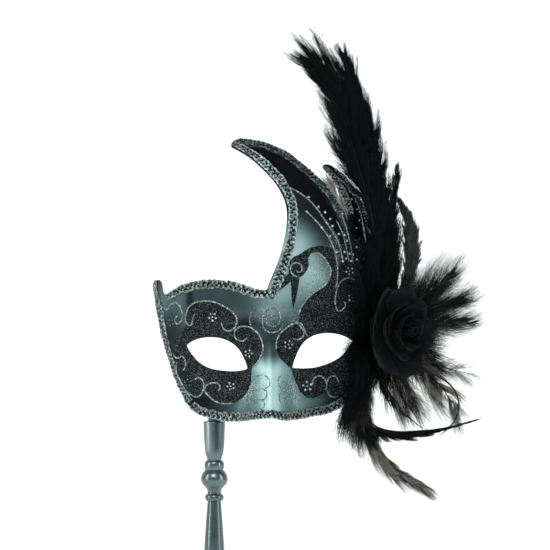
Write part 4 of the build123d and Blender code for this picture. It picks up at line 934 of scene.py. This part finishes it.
# felt patch glued over the flat tongue of the stick
PX, PY = np.array((math.cos(math.radians(17.5)), -math.sin(math.radians(17.5)), 0.0)), np.array((math.sin(math.radians(17.5)), math.cos(math.radians(17.5)), 0.0))
run, _ = spline(np.array([(-11.8, -4.4), (-9.4, -3.5), (-7.3, -2.0), (-6.6, 1.4), (-5.4, 3.2), (0.0, 3.3), (5.4, 3.2), (6.6, 1.4), (7.3, -2.0), (9.4, -3.5), (11.8, -4.4)]), 54)
zz = np.linspace(199.2, 218.8, 30)
g = run[:, None, :1] * PX + run[:, None, 1:] * PY + zz[None, :, None] * np.array((0, 0, 1.0))
e = np.sin(np.linspace(0, 9, 54))[:, None] * 0.25 * np.abs(np.linspace(-1, 1, 30))[None] ** 6
g[..., 2] += e
g += rng.normal(0, 0.035, g.shape)
g[..., 1] = np.maximum(g[..., 1], front_y(g[..., 0], g[..., 2]) + 3.05)
sheet_object("patch_felt", g, 0.7, "stick_patch", FELT)

# felt pad under the rose, from the curved shell up to a flat face
def under_pad(sx, sz):
    """How far along the rose's axis the shell or its edge braid lies below a point of the pad."""
    lo_, hi_ = np.full(sx.shape, -13.0), np.full(sx.shape, 2.6)
    edge = np.array(RIGHT_SIDE)[::-1]
    for _ in range(26):
        h_ = (lo_ + hi_) / 2
        q = R_AT + OUT * h_[..., None] + SIDE * sx[..., None] + UP * sz[..., None]
        room = np.where(q[..., 0] > np.interp(q[..., 2], edge[:, 1], edge[:, 0]) - 4.2, 1.6, 0.12)
        deep = q[..., 1] > front_y(q[..., 0], q[..., 2]) - room * 1.3
        lo_, hi_ = np.where(deep, h_, lo_), np.where(deep, hi_, h_)
    return hi_


an = np.linspace(0, 2 * math.pi, 73)[:-1]
rings = []
for r_, part in [(q_, 0.0) for q_ in (0.02, 0.2, 0.4, 0.6, 0.78, 0.90, 0.97)] + [(1.0, q_) for q_ in (0.08, 0.25, 0.45, 0.65, 0.85, 0.97)] + [(q_, 1.0) for q_ in (0.98, 0.8, 0.5, 0.2, 0.02)]:
    fray = 1 + (0.012 * np.sin(7 * an) + 0.008 * np.sin(19 * an)) * r_
    sx, sz = -3.5 + 11.5 * r_ * np.cos(an) * fray, 17.0 * r_ * np.sin(an) * fray
    low = np.minimum(under_pad(sx, sz), 2.3)
    high = 2.88 - 0.30 * r_ ** 10
    h_ = high * (1 - part) + low * part + rng.normal(0, 0.03, an.shape)
    rings.append(R_AT + OUT * h_[:, None] + SIDE * sx[:, None] + UP * sz[:, None])
rings = np.array(rings); nr_, na_ = rings.shape[:2]
i = np.arange(nr_ - 1)[:, None] * na_; j = np.arange(na_)[None]; jj = (j + 1) % na_
qd = np.stack([i + j, i + na_ + j, i + na_ + jj, i + jj], -1).reshape(-1, 4)
vv = np.vstack([rings.reshape(-1, 3), rings[0].mean(0)[None], rings[-1].mean(0)[None]])
caps = [(nr_ * na_, a_, (a_ + 1) % na_) for a_ in range(na_)] + [(nr_ * na_ + 1, (nr_ - 1) * na_ + (a_ + 1) % na_, (nr_ - 1) * na_ + a_) for a_ in range(na_)]
pad = build("pad_felt", vv, qd, caps, [FELT])
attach(pad, "root"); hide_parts("spray_pad")


# ------------------------------------------------------------------ feathers
def root(h, r, deg):
    return tuple(rose_point(h, r, math.radians(deg)))


def keep_in(v):
    """Eases points back inside the space the feathers take up."""
    v = np.array(v, float)
    for ax, hi in ((0, 196.0), (1, 40.5), (2, 465.0)):
        over = v[..., ax] > hi
        d = v[..., ax] - hi
        v[..., ax] = np.where(over, hi + 6.5 * (1 - np.exp(-np.maximum(d, 0) / 9.0)), v[..., ax])
    return v


def feather(name, node, pts, widths, look, barbs, angle=24, lock=4.0, mats=(BARB, QUILL), width=0.34, hairs=2, hair=2.6, spread=0.20,
            length=(0.7, 1.15), reach=1.25, start=0.02, rachis=0.75, seed=1, soft=None, soft_share=0.0, close=0.75, curve=0.30, puff=0.16, wisps=0.06, core=0,
            gap=0.0, soft_wide=1.5, tip_lean=0.0, sweep=(0, 0, 0), web=0, web_wide=1.2, web_mat=2, web_len=0.9, base=None, web_fan=0.12, fuzz=0.0):
    """A feather: a tapered quill and long tapering barbs gathered in pointed locks, with finer hairs along them."""
    g = np.random.default_rng(seed)
    n = 200
    rib, tan = spline(pts, n)
    L = length_of(rib)
    lk = np.array(look, float); lk /= np.linalg.norm(lk)
    across = np.cross(lk, tan); across /= np.linalg.norm(across, axis=1)[:, None]
    nrm = np.cross(tan, across)
    heap = Heap()
    u = np.linspace(0, 1, n)
    heap.tube(rib[::2], rachis * (1.0 - 0.86 * u[::2]) + 0.05, 6, nrm[::2], 1)

    def samp(arr, ss):
        i = np.clip(ss, 0, 1) * (n - 1); i0 = np.minimum(i.astype(int), n - 2); f = (i - i0)[..., None]
        return arr[i0] * (1 - f) + arr[i0 + 1] * f
    lock_s, lock_side = [], []
    for sd in (-1.0, 1.0):
        m = max(3, int(L * (0.99 - start) / lock))
        ss = start + (np.arange(m) + g.uniform(0.1, 0.9, m)) / m * (0.985 - start)
        lock_s.append(ss); lock_side.append(np.full(m, sd))
    ks, kd = np.concatenate(lock_s), np.concatenate(lock_side)
    if gap:
        keep = g.random(len(ks)) > gap
        ks, kd = ks[keep], kd[keep]
    K = len(ks)
    wl, wr = widths if isinstance(widths, tuple) else (widths, widths)
    kw = np.where(kd > 0, np.interp(ks, np.linspace(0, 1, len(wl)), wl), np.interp(ks, np.linspace(0, 1, len(wr)), wr)) * reach
    ka = np.radians(np.clip(angle * (1.12 - 0.55 * ks) + g.normal(0, 100 * spread * 0.22, K), 6, 80))
    kl = kw / np.maximum(np.sin(ka), 0.30) * g.uniform(length[0], length[1], K)
    kn = g.normal(0, puff, K)
    kc = g.normal(0, 0.16, K)
    P, T, A, N = samp(rib, ks), samp(tan, ks), samp(across, ks), samp(nrm, ks)
    kd_ = kd[:, None]
    tipdir = T * np.cos(ka)[:, None] + A * (np.sin(ka)[:, None] * kd_) + N * kn[:, None]
    tips = P + tipdir * kl[:, None] + T * (tip_lean * kl)[:, None]
    # barbs
    share = kl / kl.sum()
    cnt = np.maximum(6, (share * barbs)).astype(int)
    b = np.repeat(np.arange(K), cnt); m = len(b)
    gapmm = lock * g.uniform(0.5, 1.25, K)
    s = np.clip(ks[b] + g.uniform(-1.0, 0.6, m) * (gapmm[b] / L), start * 0.5, 0.995)
    p0, t0, a0, n0 = samp(rib, s), samp(tan, s), samp(across, s), samp(nrm, s)
    frac = 1 - g.random(m) ** 2.2 * 0.55
    ln = kl[b] * frac
    kb = ka[b] + g.normal(0, 1, m) * fuzz
    own = p0 + (t0 * np.cos(kb)[:, None] + a0 * (np.sin(kb) * kd[b])[:, None] + n0 * (kn[b] + g.normal(0, puff * 0.5, m))[:, None]) * ln[:, None]
    tgt = P[b] + tipdir[b] * ln[:, None] + T[b] * (tip_lean * ln)[:, None]
    cl = (close * frac)[:, None]
    end = own * (1 - cl) + tgt * cl + g.normal(0, 0.35, (m, 3)) + g.normal(0, 1, (m, 3)) * (ln * 0.018)[:, None]
    wild = g.random(m) < wisps
    end[wild] += g.normal(0, 1, (wild.sum(), 3)) * (ln[wild] * 0.16)[:, None]
    wide = kb + np.radians(g.uniform(4, 20, m) * (1 + kc[b]))
    ctrl = p0 + (t0 * np.cos(wide)[:, None] + a0 * (np.sin(wide) * kd[b])[:, None] + n0 * (kn[b] + g.normal(0, puff * 0.4, m))[:, None]) * (ln * (0.5 + curve * 0.3))[:, None]
    k = 7; q = np.linspace(0, 1, k)[None, :, None]
    path = (1 - q) ** 2 * p0[:, None] + 2 * q * (1 - q) * ctrl[:, None] + q ** 2 * end[:, None]
    path = path + (g.normal(0, 1, (m, 1, 3)) * 0.010 * ln[:, None, None]) * np.sin(q * g.uniform(4, 9, (m, 1, 1)))
    swp = np.array(sweep, float)
    path = path + swp[None, None] * (ln[:, None, None] * q ** 2)
    path = keep_in(path)
    g1 = np.gradient(path, axis=1); g1 /= np.linalg.norm(g1, axis=2)[..., None] + 1e-9
    face = n0 + g.normal(0, 0.4, (m, 3)); face /= np.linalg.norm(face, axis=1)[:, None]
    wv = np.cross(g1, face[:, None]); wv /= np.linalg.norm(wv, axis=2)[..., None] + 1e-9
    prof = np.interp(np.linspace(0, 1, k), [0, 0.12, 0.55, 1], [0.9, 1.0, 0.72, 0.08])
    hw = width * 0.5 * g.uniform(0.7, 1.3, m)
    if soft is not None:
        lockpick = g.random(K) < soft_share
        pick = lockpick[b] | (g.random(m) < soft_share * 0.25)
    else:
        pick = np.zeros(m, bool)
    across_v = wv * prof[None, :, None] * hw[:, None, None]
    if (~pick).any():
        heap.ribbons(path[~pick], across_v[~pick], 0)
    if pick.any():
        heap.ribbons(path[pick], across_v[pick] * soft_wide, 2)
    if core:
        cs = g.uniform(max(start, 0.01), 0.97, core); cd = np.where(g.random(core) < 0.5, -1.0, 1.0)
        c0, ct, ca, cn = samp(rib, cs), samp(tan, cs), samp(across, cs), samp(nrm, cs)
        cw = np.where(cd > 0, np.interp(cs, np.linspace(0, 1, len(wl)), wl), np.interp(cs, np.linspace(0, 1, len(wr)), wr))
        an = np.radians(angle * g.uniform(0.5, 1.1, core)); cl_ = cw / np.maximum(np.sin(an), 0.3) * g.uniform(0.45, 0.85, core)
        cdir = ct * np.cos(an)[:, None] + ca * (np.sin(an) * cd)[:, None] + cn * g.normal(0, puff, core)[:, None]
        qq = np.linspace(0, 1, 5)
        cp = keep_in(c0[:, None] + cdir[:, None] * (cl_[:, None] * qq[None])[..., None])
        cv = np.cross(cdir, cn); cv /= np.linalg.norm(cv, axis=1)[:, None] + 1e-9
        heap.ribbons(cp, cv[:, None] * (np.interp(qq, [0, 0.3, 1], [0.5, 0.75, 0.05]))[None, :, None], 0)
    if web:
        # the soft web: broad overlapping strips that follow the locks
        wb = g.choice(K, web, p=share); fr = g.uniform(0.55, 1.0, web)
        ws = np.clip(ks[wb] + g.uniform(-1.2, 0.7, web) * (gapmm[wb] / L), start * 0.5, 0.995)
        w0, wt, wa, wn = samp(rib, ws), samp(tan, ws), samp(across, ws), samp(nrm, ws)
        wl_ = kl[wb] * fr * web_len
        kw_ = ka[wb] + g.normal(0, web_fan, web)
        wd = wt * np.cos(kw_)[:, None] + wa * (np.sin(kw_) * kd[wb])[:, None] + wn * (kn[wb] + g.normal(0, 0.05, web))[:, None]
        wd2 = wt * np.cos(ka[wb] + 0.2)[:, None] + wa * (np.sin(ka[wb] + 0.2) * kd[wb])[:, None] + wn * kn[wb][:, None]
        kq = 7; qq = np.linspace(0, 1, kq)[None, :, None]
        we = w0 + wd * wl_[:, None]; wc = w0 + wd2 * (wl_ * 0.55)[:, None]
        wp = (1 - qq) ** 2 * w0[:, None] + 2 * qq * (1 - qq) * wc[:, None] + qq ** 2 * we[:, None] + swp[None, None] * (wl_[:, None, None] * qq ** 2)
        wp = keep_in(wp)
        wg = np.gradient(wp, axis=1); wg /= np.linalg.norm(wg, axis=2)[..., None] + 1e-9
        wf = wn + g.normal(0, 0.15, (web, 3)); wf /= np.linalg.norm(wf, axis=1)[:, None]
        wv2 = np.cross(wg, wf[:, None]); wv2 /= np.linalg.norm(wv2, axis=2)[..., None] + 1e-9
        wprof = np.interp(np.linspace(0, 1, kq), [0, 0.2, 0.7, 0.9, 1], [0.5, 0.9, 1.0, 0.7, 0.06])
        heap.ribbons(wp, wv2 * wprof[None, :, None] * (web_wide * g.uniform(0.5, 1.2, web))[:, None, None], web_mat)
    if hairs:
        reps = np.repeat(np.arange(m), hairs); mm = len(reps)
        f = g.uniform(0.15, 0.98, mm); fi = f * (k - 1); f0 = np.minimum(fi.astype(int), k - 2); ff = (fi - f0)[:, None]
        o = path[reps, f0] * (1 - ff) + path[reps, f0 + 1] * ff
        dirn = g1[reps, f0]
        sidev = np.cross(dirn, face[reps]); sidev /= np.linalg.norm(sidev, axis=1)[:, None] + 1e-9
        sgn = np.where(g.random(mm) < 0.5, -1.0, 1.0)
        ba = np.radians(g.uniform(8, 26, mm))
        dd = dirn * np.cos(ba)[:, None] + sidev * (sgn * np.sin(ba))[:, None] + face[reps] * g.normal(0, 0.10, mm)[:, None]
        bl = hair * g.uniform(0.4, 1.2, mm) * np.clip(ln[reps] / 10.0, 0.4, 1.6)
        qq = np.linspace(0, 1, 3)
        bp = o[:, None] + dd[:, None] * (bl[:, None] * qq[None])[..., None] + dirn[:, None] * (bl[:, None] * qq[None] ** 2 * 0.2)[..., None]
        bp = keep_in(bp)
        bwv = np.cross(dd, face[reps]); bwv /= np.linalg.norm(bwv, axis=1)[:, None] + 1e-9
        bwv = bwv[:, None] * np.interp(qq, [0, 0.5, 1], [1.0, 0.8, 0.12])[None, :, None] * (width * 0.30 * g.uniform(0.6, 1.2, mm))[:, None, None]
        ps = pick[reps]
        if (~ps).any():
            heap.ribbons(bp[~ps], bwv[~ps], 0)
        if ps.any():
            heap.ribbons(bp[ps], bwv[ps] * soft_wide, 2)
    if base:
        # the downy foot: loose wide-set barbs round the root
        bs = g.uniform(0.0, base[2], base[0]); b0, bt, ba_, bn = samp(rib, bs), samp(tan, bs), samp(across, bs), samp(nrm, bs)
        bd = np.where(g.random(base[0]) < 0.5, -1.0, 1.0); an = np.radians(g.uniform(15, base[3] if len(base) > 3 else 80, base[0])); bl2 = base[1] * g.uniform(0.55, 1.15, base[0])
        d = bt * np.cos(an)[:, None] + ba_ * (np.sin(an) * bd)[:, None] + bn * g.normal(-0.10, 0.22, base[0])[:, None]
        qq = np.linspace(0, 1, 6)[None, :, None]
        fp = b0[:, None] + d[:, None] * (bl2[:, None, None] * qq) + bt[:, None] * (bl2[:, None, None] * qq ** 2 * 0.35) + g.normal(0, 0.06, (base[0], 1, 3)) * bl2[:, None, None] * np.sin(qq * 5)
        fp = keep_in(fp)
        fg = np.gradient(fp, axis=1); fg /= np.linalg.norm(fg, axis=2)[..., None] + 1e-9
        fv = np.cross(fg, bn[:, None]); fv /= np.linalg.norm(fv, axis=2)[..., None] + 1e-9
        heap.ribbons(fp, fv * np.interp(np.linspace(0, 1, 6), [0, 0.6, 1], [1.0, 0.7, 0.1])[None, :, None] * 0.16, 0)
    ob = heap.make(name, list(mats) + [soft or mats[0], WEB])
    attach(ob, "root"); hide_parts(node)
    return ob


FRONT = (0.3, -0.95, 0.0)
feather("feather_tall_front", "plume_tall_front", [root(6.0, 9, 93), (118.0, 4.2, 292.0), (114.4, 1.5, 330.0), (107.4, 1.0, 366.0), (97.0, 3.5, 400.0),
        (83.0, 7.0, 427.0), (64.0, 12.0, 447.0)], ([3, 2.6, 3.6, 6.5, 9.5, 11, 9, 7, 4.0], [6, 7, 7, 7, 7, 8, 9, 8, 5]), FRONT, 3900, 25, 2.6, seed=101, hairs=1,
        hair=3.0, core=1000, length=(0.6, 1.35), close=0.55, width=0.34, spread=0.42, wisps=0.20, soft=BARB_SOFT, soft_share=0.12, fuzz=0.045, soft_wide=1.0)
feather("feather_tall_right", "plume_tall_right", [root(3.9, 9, 80), (121.4, 10.2, 300.0), (118.4, 12.0, 340.0), (112.0, 12.5, 379.0), (104.0, 14.0, 409.0),
        (96.0, 16.5, 436.0), (90.0, 19.0, 452.0)], ([5, 7, 9, 10, 11, 10, 8, 6, 3.5], [4, 6.5, 7.0, 5.5, 6.0, 6.0, 5.0, 4, 2]), (0.25, -0.97, 0.0), 3700, 22, 2.7,
        seed=102, hairs=1, hair=3.2, core=900, length=(0.6, 1.45), close=0.55, width=0.34, spread=0.42, wisps=0.20, soft=BARB_SOFT, soft_share=0.14, fuzz=0.045, soft_wide=1.0)
feather("feather_tall_left", "plume_tall_left", [root(8.0, 9, 112), (112.4, -1.8, 298.0), (109.8, -4.8, 334.0), (102.4, -5.2, 362.0), (93.5, -4.0, 392.0),
        (82.0, -1.0, 418.0), (68.0, 3.5, 438.0)], ([2.0, 2.4, 3.0, 4.6, 9.5, 9.5, 6, 4.5, 3], [5, 6, 7, 7, 7, 7, 6.5, 5, 3]), (0.2, -0.98, 0.0), 3400, 28, 2.2, seed=103, hairs=1,
        hair=3.0, core=800, length=(0.6, 1.4), close=0.52, width=0.33, spread=0.46, wisps=0.22, soft=BARB_SOFT, soft_share=0.10, fuzz=0.05, soft_wide=1.0)
feather("feather_short_upper", "plume_short_upper", [root(7.6, 9, 64), (126.2, 16.5, 292.0), (125.4, 20.5, 328.0), (129.2, 22.0, 371.0)],
        ([4, 4, 3.6, 3.2, 2.6, 1.0], [6, 4.5, 3.6, 4.2, 4.0, 1.2]), FRONT, 1900, 15, 3.4, seed=104, hairs=1, hair=2.0, soft=DOWN, soft_share=0.16, core=350, soft_wide=1.8,
        length=(0.8, 1.15), web=110, web_wide=0.9, width=0.26, close=0.5)
feather("feather_side_slim", "plume_side_slim", [root(4.2, 9, 52), (132.0, 20.0, 278.0), (139.0, 25.0, 302.0), (139.0, 29.0, 326.0), (131.0, 31.0, 346.5)],
        ([2.5, 3.0, 5.0, 6.0, 4.2, 1.4], [2.5, 3.4, 5.0, 4.6, 3.0, 1.0]), (0.1, -0.99, 0.0), 900, 16, 3.2, seed=105, hairs=1, hair=1.4, length=(0.85, 1.05), spread=0.06, mats=(LEAFY, QUILL),
        wisps=0.02, soft=LEAFY, soft_share=0.5, soft_wide=1.4, web=420, web_wide=1.0, web_mat=2, close=0.5, width=0.26)
for node, end, mid, a0, sd, sw in (("upper", (171.5, 30.0, 294.5), ((136.0, 20.0, 268.0), (153.0, 27.0, 281.0)), (7.6, 38), 106, (0.0, 0, 0.26)),
                                   ("middle", (180.0, 33.0, 275.0), ((136.0, 23.5, 261.0), (158.0, 30.0, 270.0)), (5.8, 20), 107, (0.0, 0, 0.20)),
                                   ("lower", (186.0, 36.0, 258.0), ((137.0, 26.0, 254.0), (158.0, 33.0, 258.0)), (4.0, 2), 108, (0.05, 0, 0.08))):
    feather("feather_fan_" + node, "hackle_fan_" + node, [root(a0[0], 9, a0[1]), mid[0], mid[1], end], ([7, 8, 8, 7, 5, 2.0], [9, 11, 10, 7.5, 5, 2.0] if node != "lower" else [9, 12, 11, 7, 4, 1.5]), (0.2, -0.98, 0.0), 2100, 23, 1.8,
            seed=sd, hairs=2, hair=3.4, spread=0.50, length=(0.5, 1.5), reach=1.1, close=0.22, puff=0.10, wisps=0.28, soft=FAN_TIP, soft_share=0.78, core=40, fuzz=0.10,
            width=0.140, soft_wide=1.1, curve=0.7, sweep=sw, base=(1100, 21, 0.36))
feather("feather_tuft_side", "hackle_tuft_side", [root(5.6, 9, -8), (136.0, 22.0, 246.0), (146.0, 22.0, 236.0), (154.5, 21.5, 223.0)],
        ([6, 7.5, 7, 5, 3], [8, 9, 9, 7, 3]), (0.2, -0.98, -0.1), 1900, 28, 2.4, seed=109, hairs=2, spread=0.4, length=(0.6, 1.4), soft=BARB_SOFT, soft_share=0.3, core=160, sweep=(0.1, 0, 0.1),
        width=0.20, close=0.4, fuzz=0.16, base=(800, 19, 0.45, 95))
feather("feather_fluff_side", "fluff_long_side", [root(7.0, 9, -27), (134.0, 19.2, 237.5), (158.0, 29.0, 227.5), (184.0, 32.0, 221.0)],
        ([3, 4, 5, 6, 6, 2.5], [4, 5, 7, 8, 7, 3]), (0.1, -0.99, 0.1), 560, 27, 3.6, (BARB_SOFT, QUILL), seed=110, hairs=1, soft=DOWN, soft_share=0.35, width=0.13, soft_wide=1.5,
        spread=0.5, length=(0.5, 1.35), gap=0.25, web=60, web_wide=0.9, web_mat=3, close=0.5, wisps=0.2, fuzz=0.16, base=(420, 15, 0.25))
feather("feather_fluff_broad", "fluff_broad_low", [root(3.9, 9, -43), (137.0, 18.6, 235.5), (151.0, 17.5, 222.5), (163.0, 17.0, 209.0), (173.0, 17.0, 194.0)],
        ([3, 5, 6, 6, 5, 2.5], [6, 9, 11, 11, 8, 4]), (0.05, -0.99, 0.1), 1500, 33, 3.2, (BARB_SOFT, QUILL), seed=111, hairs=1, soft=DOWN, soft_share=0.35, width=0.13, soft_wide=1.5,
        spread=0.45, length=(0.5, 1.35), gap=0.12, web=230, web_wide=1.15, web_mat=3, close=0.5, wisps=0.2, fuzz=0.16, base=(900, 19, 0.36))
feather("feather_fluff_centre", "fluff_centre_low", [root(7.4, 9, -55), (122.0, 9.6, 230.0), (129.5, 9.5, 213.0), (135.0, 11.0, 202.0)],
        [6.5, 8, 8, 6.5, 4], (0.1, -0.99, 0.0), 1700, 26, 2.6, (BARB, QUILL), seed=112, hairs=1, soft=BARB_SOFT, soft_share=0.4, width=0.20, soft_wide=1.3,
        spread=0.35, length=(0.6, 1.4), web=190, web_wide=1.3, web_mat=3, close=0.45, wisps=0.15, fuzz=0.16, base=(700, 17, 0.35, 95))
feather("feather_arc_inner", "biot_arc_inner", [root(5.6, 9, -68), (116.0, 3.8, 226.0), (126.0, 3.0, 203.0), (146.0, 4.0, 184.5)],
        ([3.4, 3.4, 2.6, 1.0, 0.6], [3.6, 4.4, 4.2, 1.6, 0.6]), (0.1, -0.99, 0.0), 1100, 12, 4, (BARB, QUILL), seed=113, hairs=1, hair=1.6, length=(0.8, 1.1), spread=0.10,
        wisps=0.03, reach=0.9, close=0.5, width=0.26)
feather("feather_arc_outer", "biot_arc_outer", [root(7.5, 9, -42), (132.0, 13.5, 231.5), (158.0, 12.0, 220.5), (171.0, 12.0, 207.0), (170.5, 12.5, 192.0),
        (158.5, 13.0, 178.5)], [1.6, 1.5, 1.3, 1.4, 1.2, 0.5], (0.0, -1.0, 0.0), 700, 7, 5, (BARB, QUILL), seed=114, rachis=1.05, hairs=0, length=(0.8, 1.0), spread=0.02,
        wisps=0.0, reach=0.6)
feather("feather_long_curl_barbs", "feather_long_curl", [root(4.0, 9, -92), (107.5, 1.2, 226.0), (102.0, -3.5, 203.0), (112.0, -5.5, 186.5), (132.8, -4.0, 181.6),
        (161.5, 2.0, 184.6), (188.8, 10.0, 191.4)], ([1.2, 1.4, 1.8, 3.0, 3.6, 3.2, 2.0, 1.2, 0.5], [1.2, 1.4, 2.2, 4.4, 5.8, 5.2, 2.6, 1.2, 0.5]), (0.1, -0.99, 0.1), 2600,
        9, 6, (BARB, QUILL), seed=115, hairs=1, hair=1.4, length=(0.8, 1.15), spread=0.06, wisps=0.03, reach=0.9, core=150, width=0.28, close=0.6)
feather("feather_droop_front", "plume_droop_front", [root(8.4, 9, -112), (106.0, -7.5, 231.0), (102.6, -13.0, 212.0), (102.2, -13.5, 197.0), (105.6, -11.6, 186.5),
        (111.0, -9.0, 178.0)], ([8, 9, 9, 7, 6, 4, 2], [4, 4.5, 7, 11, 9, 5, 2]), (0.1, -0.99, 0.0), 4200, 23, 2.8, seed=116, hairs=2, core=700, reach=1.1, length=(0.7, 1.25),
        close=0.42, soft=DOWN, soft_share=0.14, width=0.24, soft_wide=1.3, spread=0.30, wisps=0.12, fuzz=0.10, base=(420, 17, 0.25))
feather("feather_droop_tail", "plume_droop_tail", [root(6.6, 9, -97), (106.0, -3.8, 226.0), (103.0, -7.5, 204.0), (107.0, -7.0, 182.0), (121.0, -5.0, 161.0),
        (140.0, -5.5, 147.5), (153.0, -6.0, 139.0)], ([4, 5, 5, 5, 6, 5.5, 4.5, 2.0], [4, 5, 6, 7, 8, 7.5, 5.5, 2.5]), (0.1, -0.99, 0.1), 1300, 12, 5.0, seed=117, hairs=1,
        soft=BARB_SOFT, soft_share=0.5, soft_wide=1.3, length=(0.8, 1.25), reach=1.0, web=420, web_wide=1.15, web_mat=3, width=0.22, close=0.5)
feather("feather_cheek", "hackle_cheek_front", [root(8.2, 9, -135), (104.9, -9.4, 243.0), (102.2, -15.0, 227.0), (99.4, -18.5, 208.0)],
        ([7, 6, 5, 5, 2.5], [6.3, 6.8, 6.4, 8.4, 6.8]), (0.15, -0.98, 0.0), 3000, 23, 2.6, seed=118, hairs=2, hair=2.2, core=700, reach=1.05, length=(0.7, 1.2), close=0.45, width=0.24,
        wisps=0.12, fuzz=0.10, base=(900, 15, 0.25, 120))
feather("feather_brow_side", "hackle_brow_side", [root(8.2, 9, 135), (108.6, -7.0, 279.0), (107.4, -9.6, 296.0), (108.0, -10.6, 315.0)],
        ([6, 6, 4, 2.2, 1.2], [7, 8, 8, 6.5, 3]), (0.2, -0.98, 0.0), 2300, 21, 2.6, seed=119, hairs=2, core=450, reach=1.1, length=(0.75, 1.15), close=0.45, width=0.24,
        base=(1300, 15, 0.42, 125))
feather("feather_behind_crest", "hackle_behind_crest", [(102.0, 7.6, 296.0), (97.5, 8.4, 318.0), (90.0, 9.2, 338.0), (80.0, 10.4, 357.0)],
        [4, 6.5, 8.0, 6.0, 2.0], (0.5, -0.86, -0.1), 700, 20, 3.4, (TAN, QUILL), seed=120, hairs=1, width=0.4, soft=TAN, web=200, web_wide=1.0, web_mat=0)

# leaf: a cloth blade with a pressed midrib
lp, lt = spline([root(8.4, 9, 160), (102.5, -9.8, 270.0), (100.4, -14.0, 281.0), (101.0, -16.5, 291.0)], 26)
lk = np.array((0.3, -0.94, 0.1)); lk /= np.linalg.norm(lk)
la = np.cross(lk, lt); la /= np.linalg.norm(la, axis=1)[:, None]; lnn = np.cross(lt, la)
lw = np.interp(np.linspace(0, 1, 26), [0, 0.12, 0.45, 0.75, 0.93, 1], [0.8, 1.8, 4.6, 5.2, 2.6, 0.5])
v = np.linspace(-1, 1, 15)
grid = lp[:, None] + la[:, None] * (lw[:, None] * v[None])[..., None] + lnn[:, None] * ((np.abs(v) * 1.2 + 0.25 * np.sin(9 * v))[None] * (lw / 5)[:, None])[..., None]
sheet_object("rose_leaf", grid, 0.34, "leaf_upper", LEAF)

# ------------------------------------------------------------------ studio
m = Mat("studio_white")
m.set(color=m.ramp(m.noise(3.0, 2), [(0.0, (0.86, 0.86, 0.86)), (1.0, (0.9, 0.9, 0.9))]), rough=0.9, emit=(1.0, 1.0, 1.0), emit_s=0.42)
prof = [(-1.2, 0.0), (0.7, 0.0)] + [(0.7 + 0.7 * math.sin(a), 0.7 - 0.7 * math.cos(a)) for a in np.linspace(0.1, math.pi / 2, 14)] + [(1.4, 3.2)]
prof = np.array(prof) * 1000
xs = np.linspace(-3200, 3200, 9)
vv = np.array([(x, p[0], p[1] - 0.5) for p in prof for x in xs]); nx_ = len(xs)
qq = [(i * nx_ + j, i * nx_ + j + 1, (i + 1) * nx_ + j + 1, (i + 1) * nx_ + j) for i in range(len(prof) - 1) for j in range(nx_ - 1)]
ob = build("studio_sweep", vv, qq, None, [m.m])
nt = m.m.node_tree; out = [n for n in nt.nodes if n.type == "OUTPUT_MATERIAL"][0]; lit = out.inputs[0].links[0].from_socket
geo = nt.nodes.new("ShaderNodeNewGeometry"); clear = nt.nodes.new("ShaderNodeBsdfTransparent"); both = nt.nodes.new("ShaderNodeMixShader")
nt.links.new(geo.outputs["Backfacing"], both.inputs[0]); nt.links.new(lit, both.inputs[1]); nt.links.new(clear.outputs[0], both.inputs[2]); nt.links.new(both.outputs[0], out.inputs[0])

# a pale shell round the whole studio, seen only by the camera
m2 = Mat("studio_far"); m2.set(color=(0.0, 0.0, 0.0), rough=1.0, spec=0.0, emit=(0.985, 0.99, 0.99), emit_s=1.0)
th, ph = np.meshgrid(np.linspace(0, 2 * math.pi, 49)[:-1], np.linspace(0.02, math.pi - 0.02, 24), indexing="ij")
vv = np.stack([9000 * np.sin(ph) * np.cos(th), 9000 * np.sin(ph) * np.sin(th), 9000 * np.cos(ph) + 300], -1).reshape(-1, 3)
qq = [(i * 24 + j, ((i + 1) % 48) * 24 + j, ((i + 1) % 48) * 24 + j + 1, i * 24 + j + 1) for i in range(48) for j in range(23)]
ob = build("studio_far", vv, qq, None, [m2.m])
ob.visible_diffuse = ob.visible_glossy = ob.visible_transmission = ob.visible_shadow = ob.visible_volume_scatter = False

world = bpy.data.worlds.new("studio"); scene.world = world; world.use_nodes = True
world.node_tree.nodes["Background"].inputs[0].default_value = (0.90, 0.97, 1.0, 1)
world.node_tree.nodes["Background"].inputs[1].default_value = 0.30


def lamp(name, loc, aim, size, power, color=(1, 1, 1)):
    d = bpy.data.lights.new(name, "AREA"); d.shape = "RECTANGLE"; d.size, d.size_y = size; d.energy = power; d.color = color
    o = bpy.data.objects.new(name, d); scene.collection.objects.link(o); o.location = loc
    o.rotation_euler = (Vector(aim) - Vector(loc)).to_track_quat("-Z", "Y").to_euler()
    return o


lamp("key_left", (-1.35, -0.55, 0.62), (0.03, 0, 0.26), (0.40, 1.1), 10, (0.93, 0.99, 1.0))
lamp("key_right", (1.35, -0.55, 0.62), (0.05, 0, 0.26), (0.40, 1.1), 7, (0.93, 0.99, 1.0))
lamp("front_high", (-0.15, -1.5, 1.35), (0.04, 0, 0.24), (0.9, 0.5), 17, (1.0, 1.0, 0.98))
scene.view_settings.view_transform = "Standard"
scene.view_settings.look = "None"
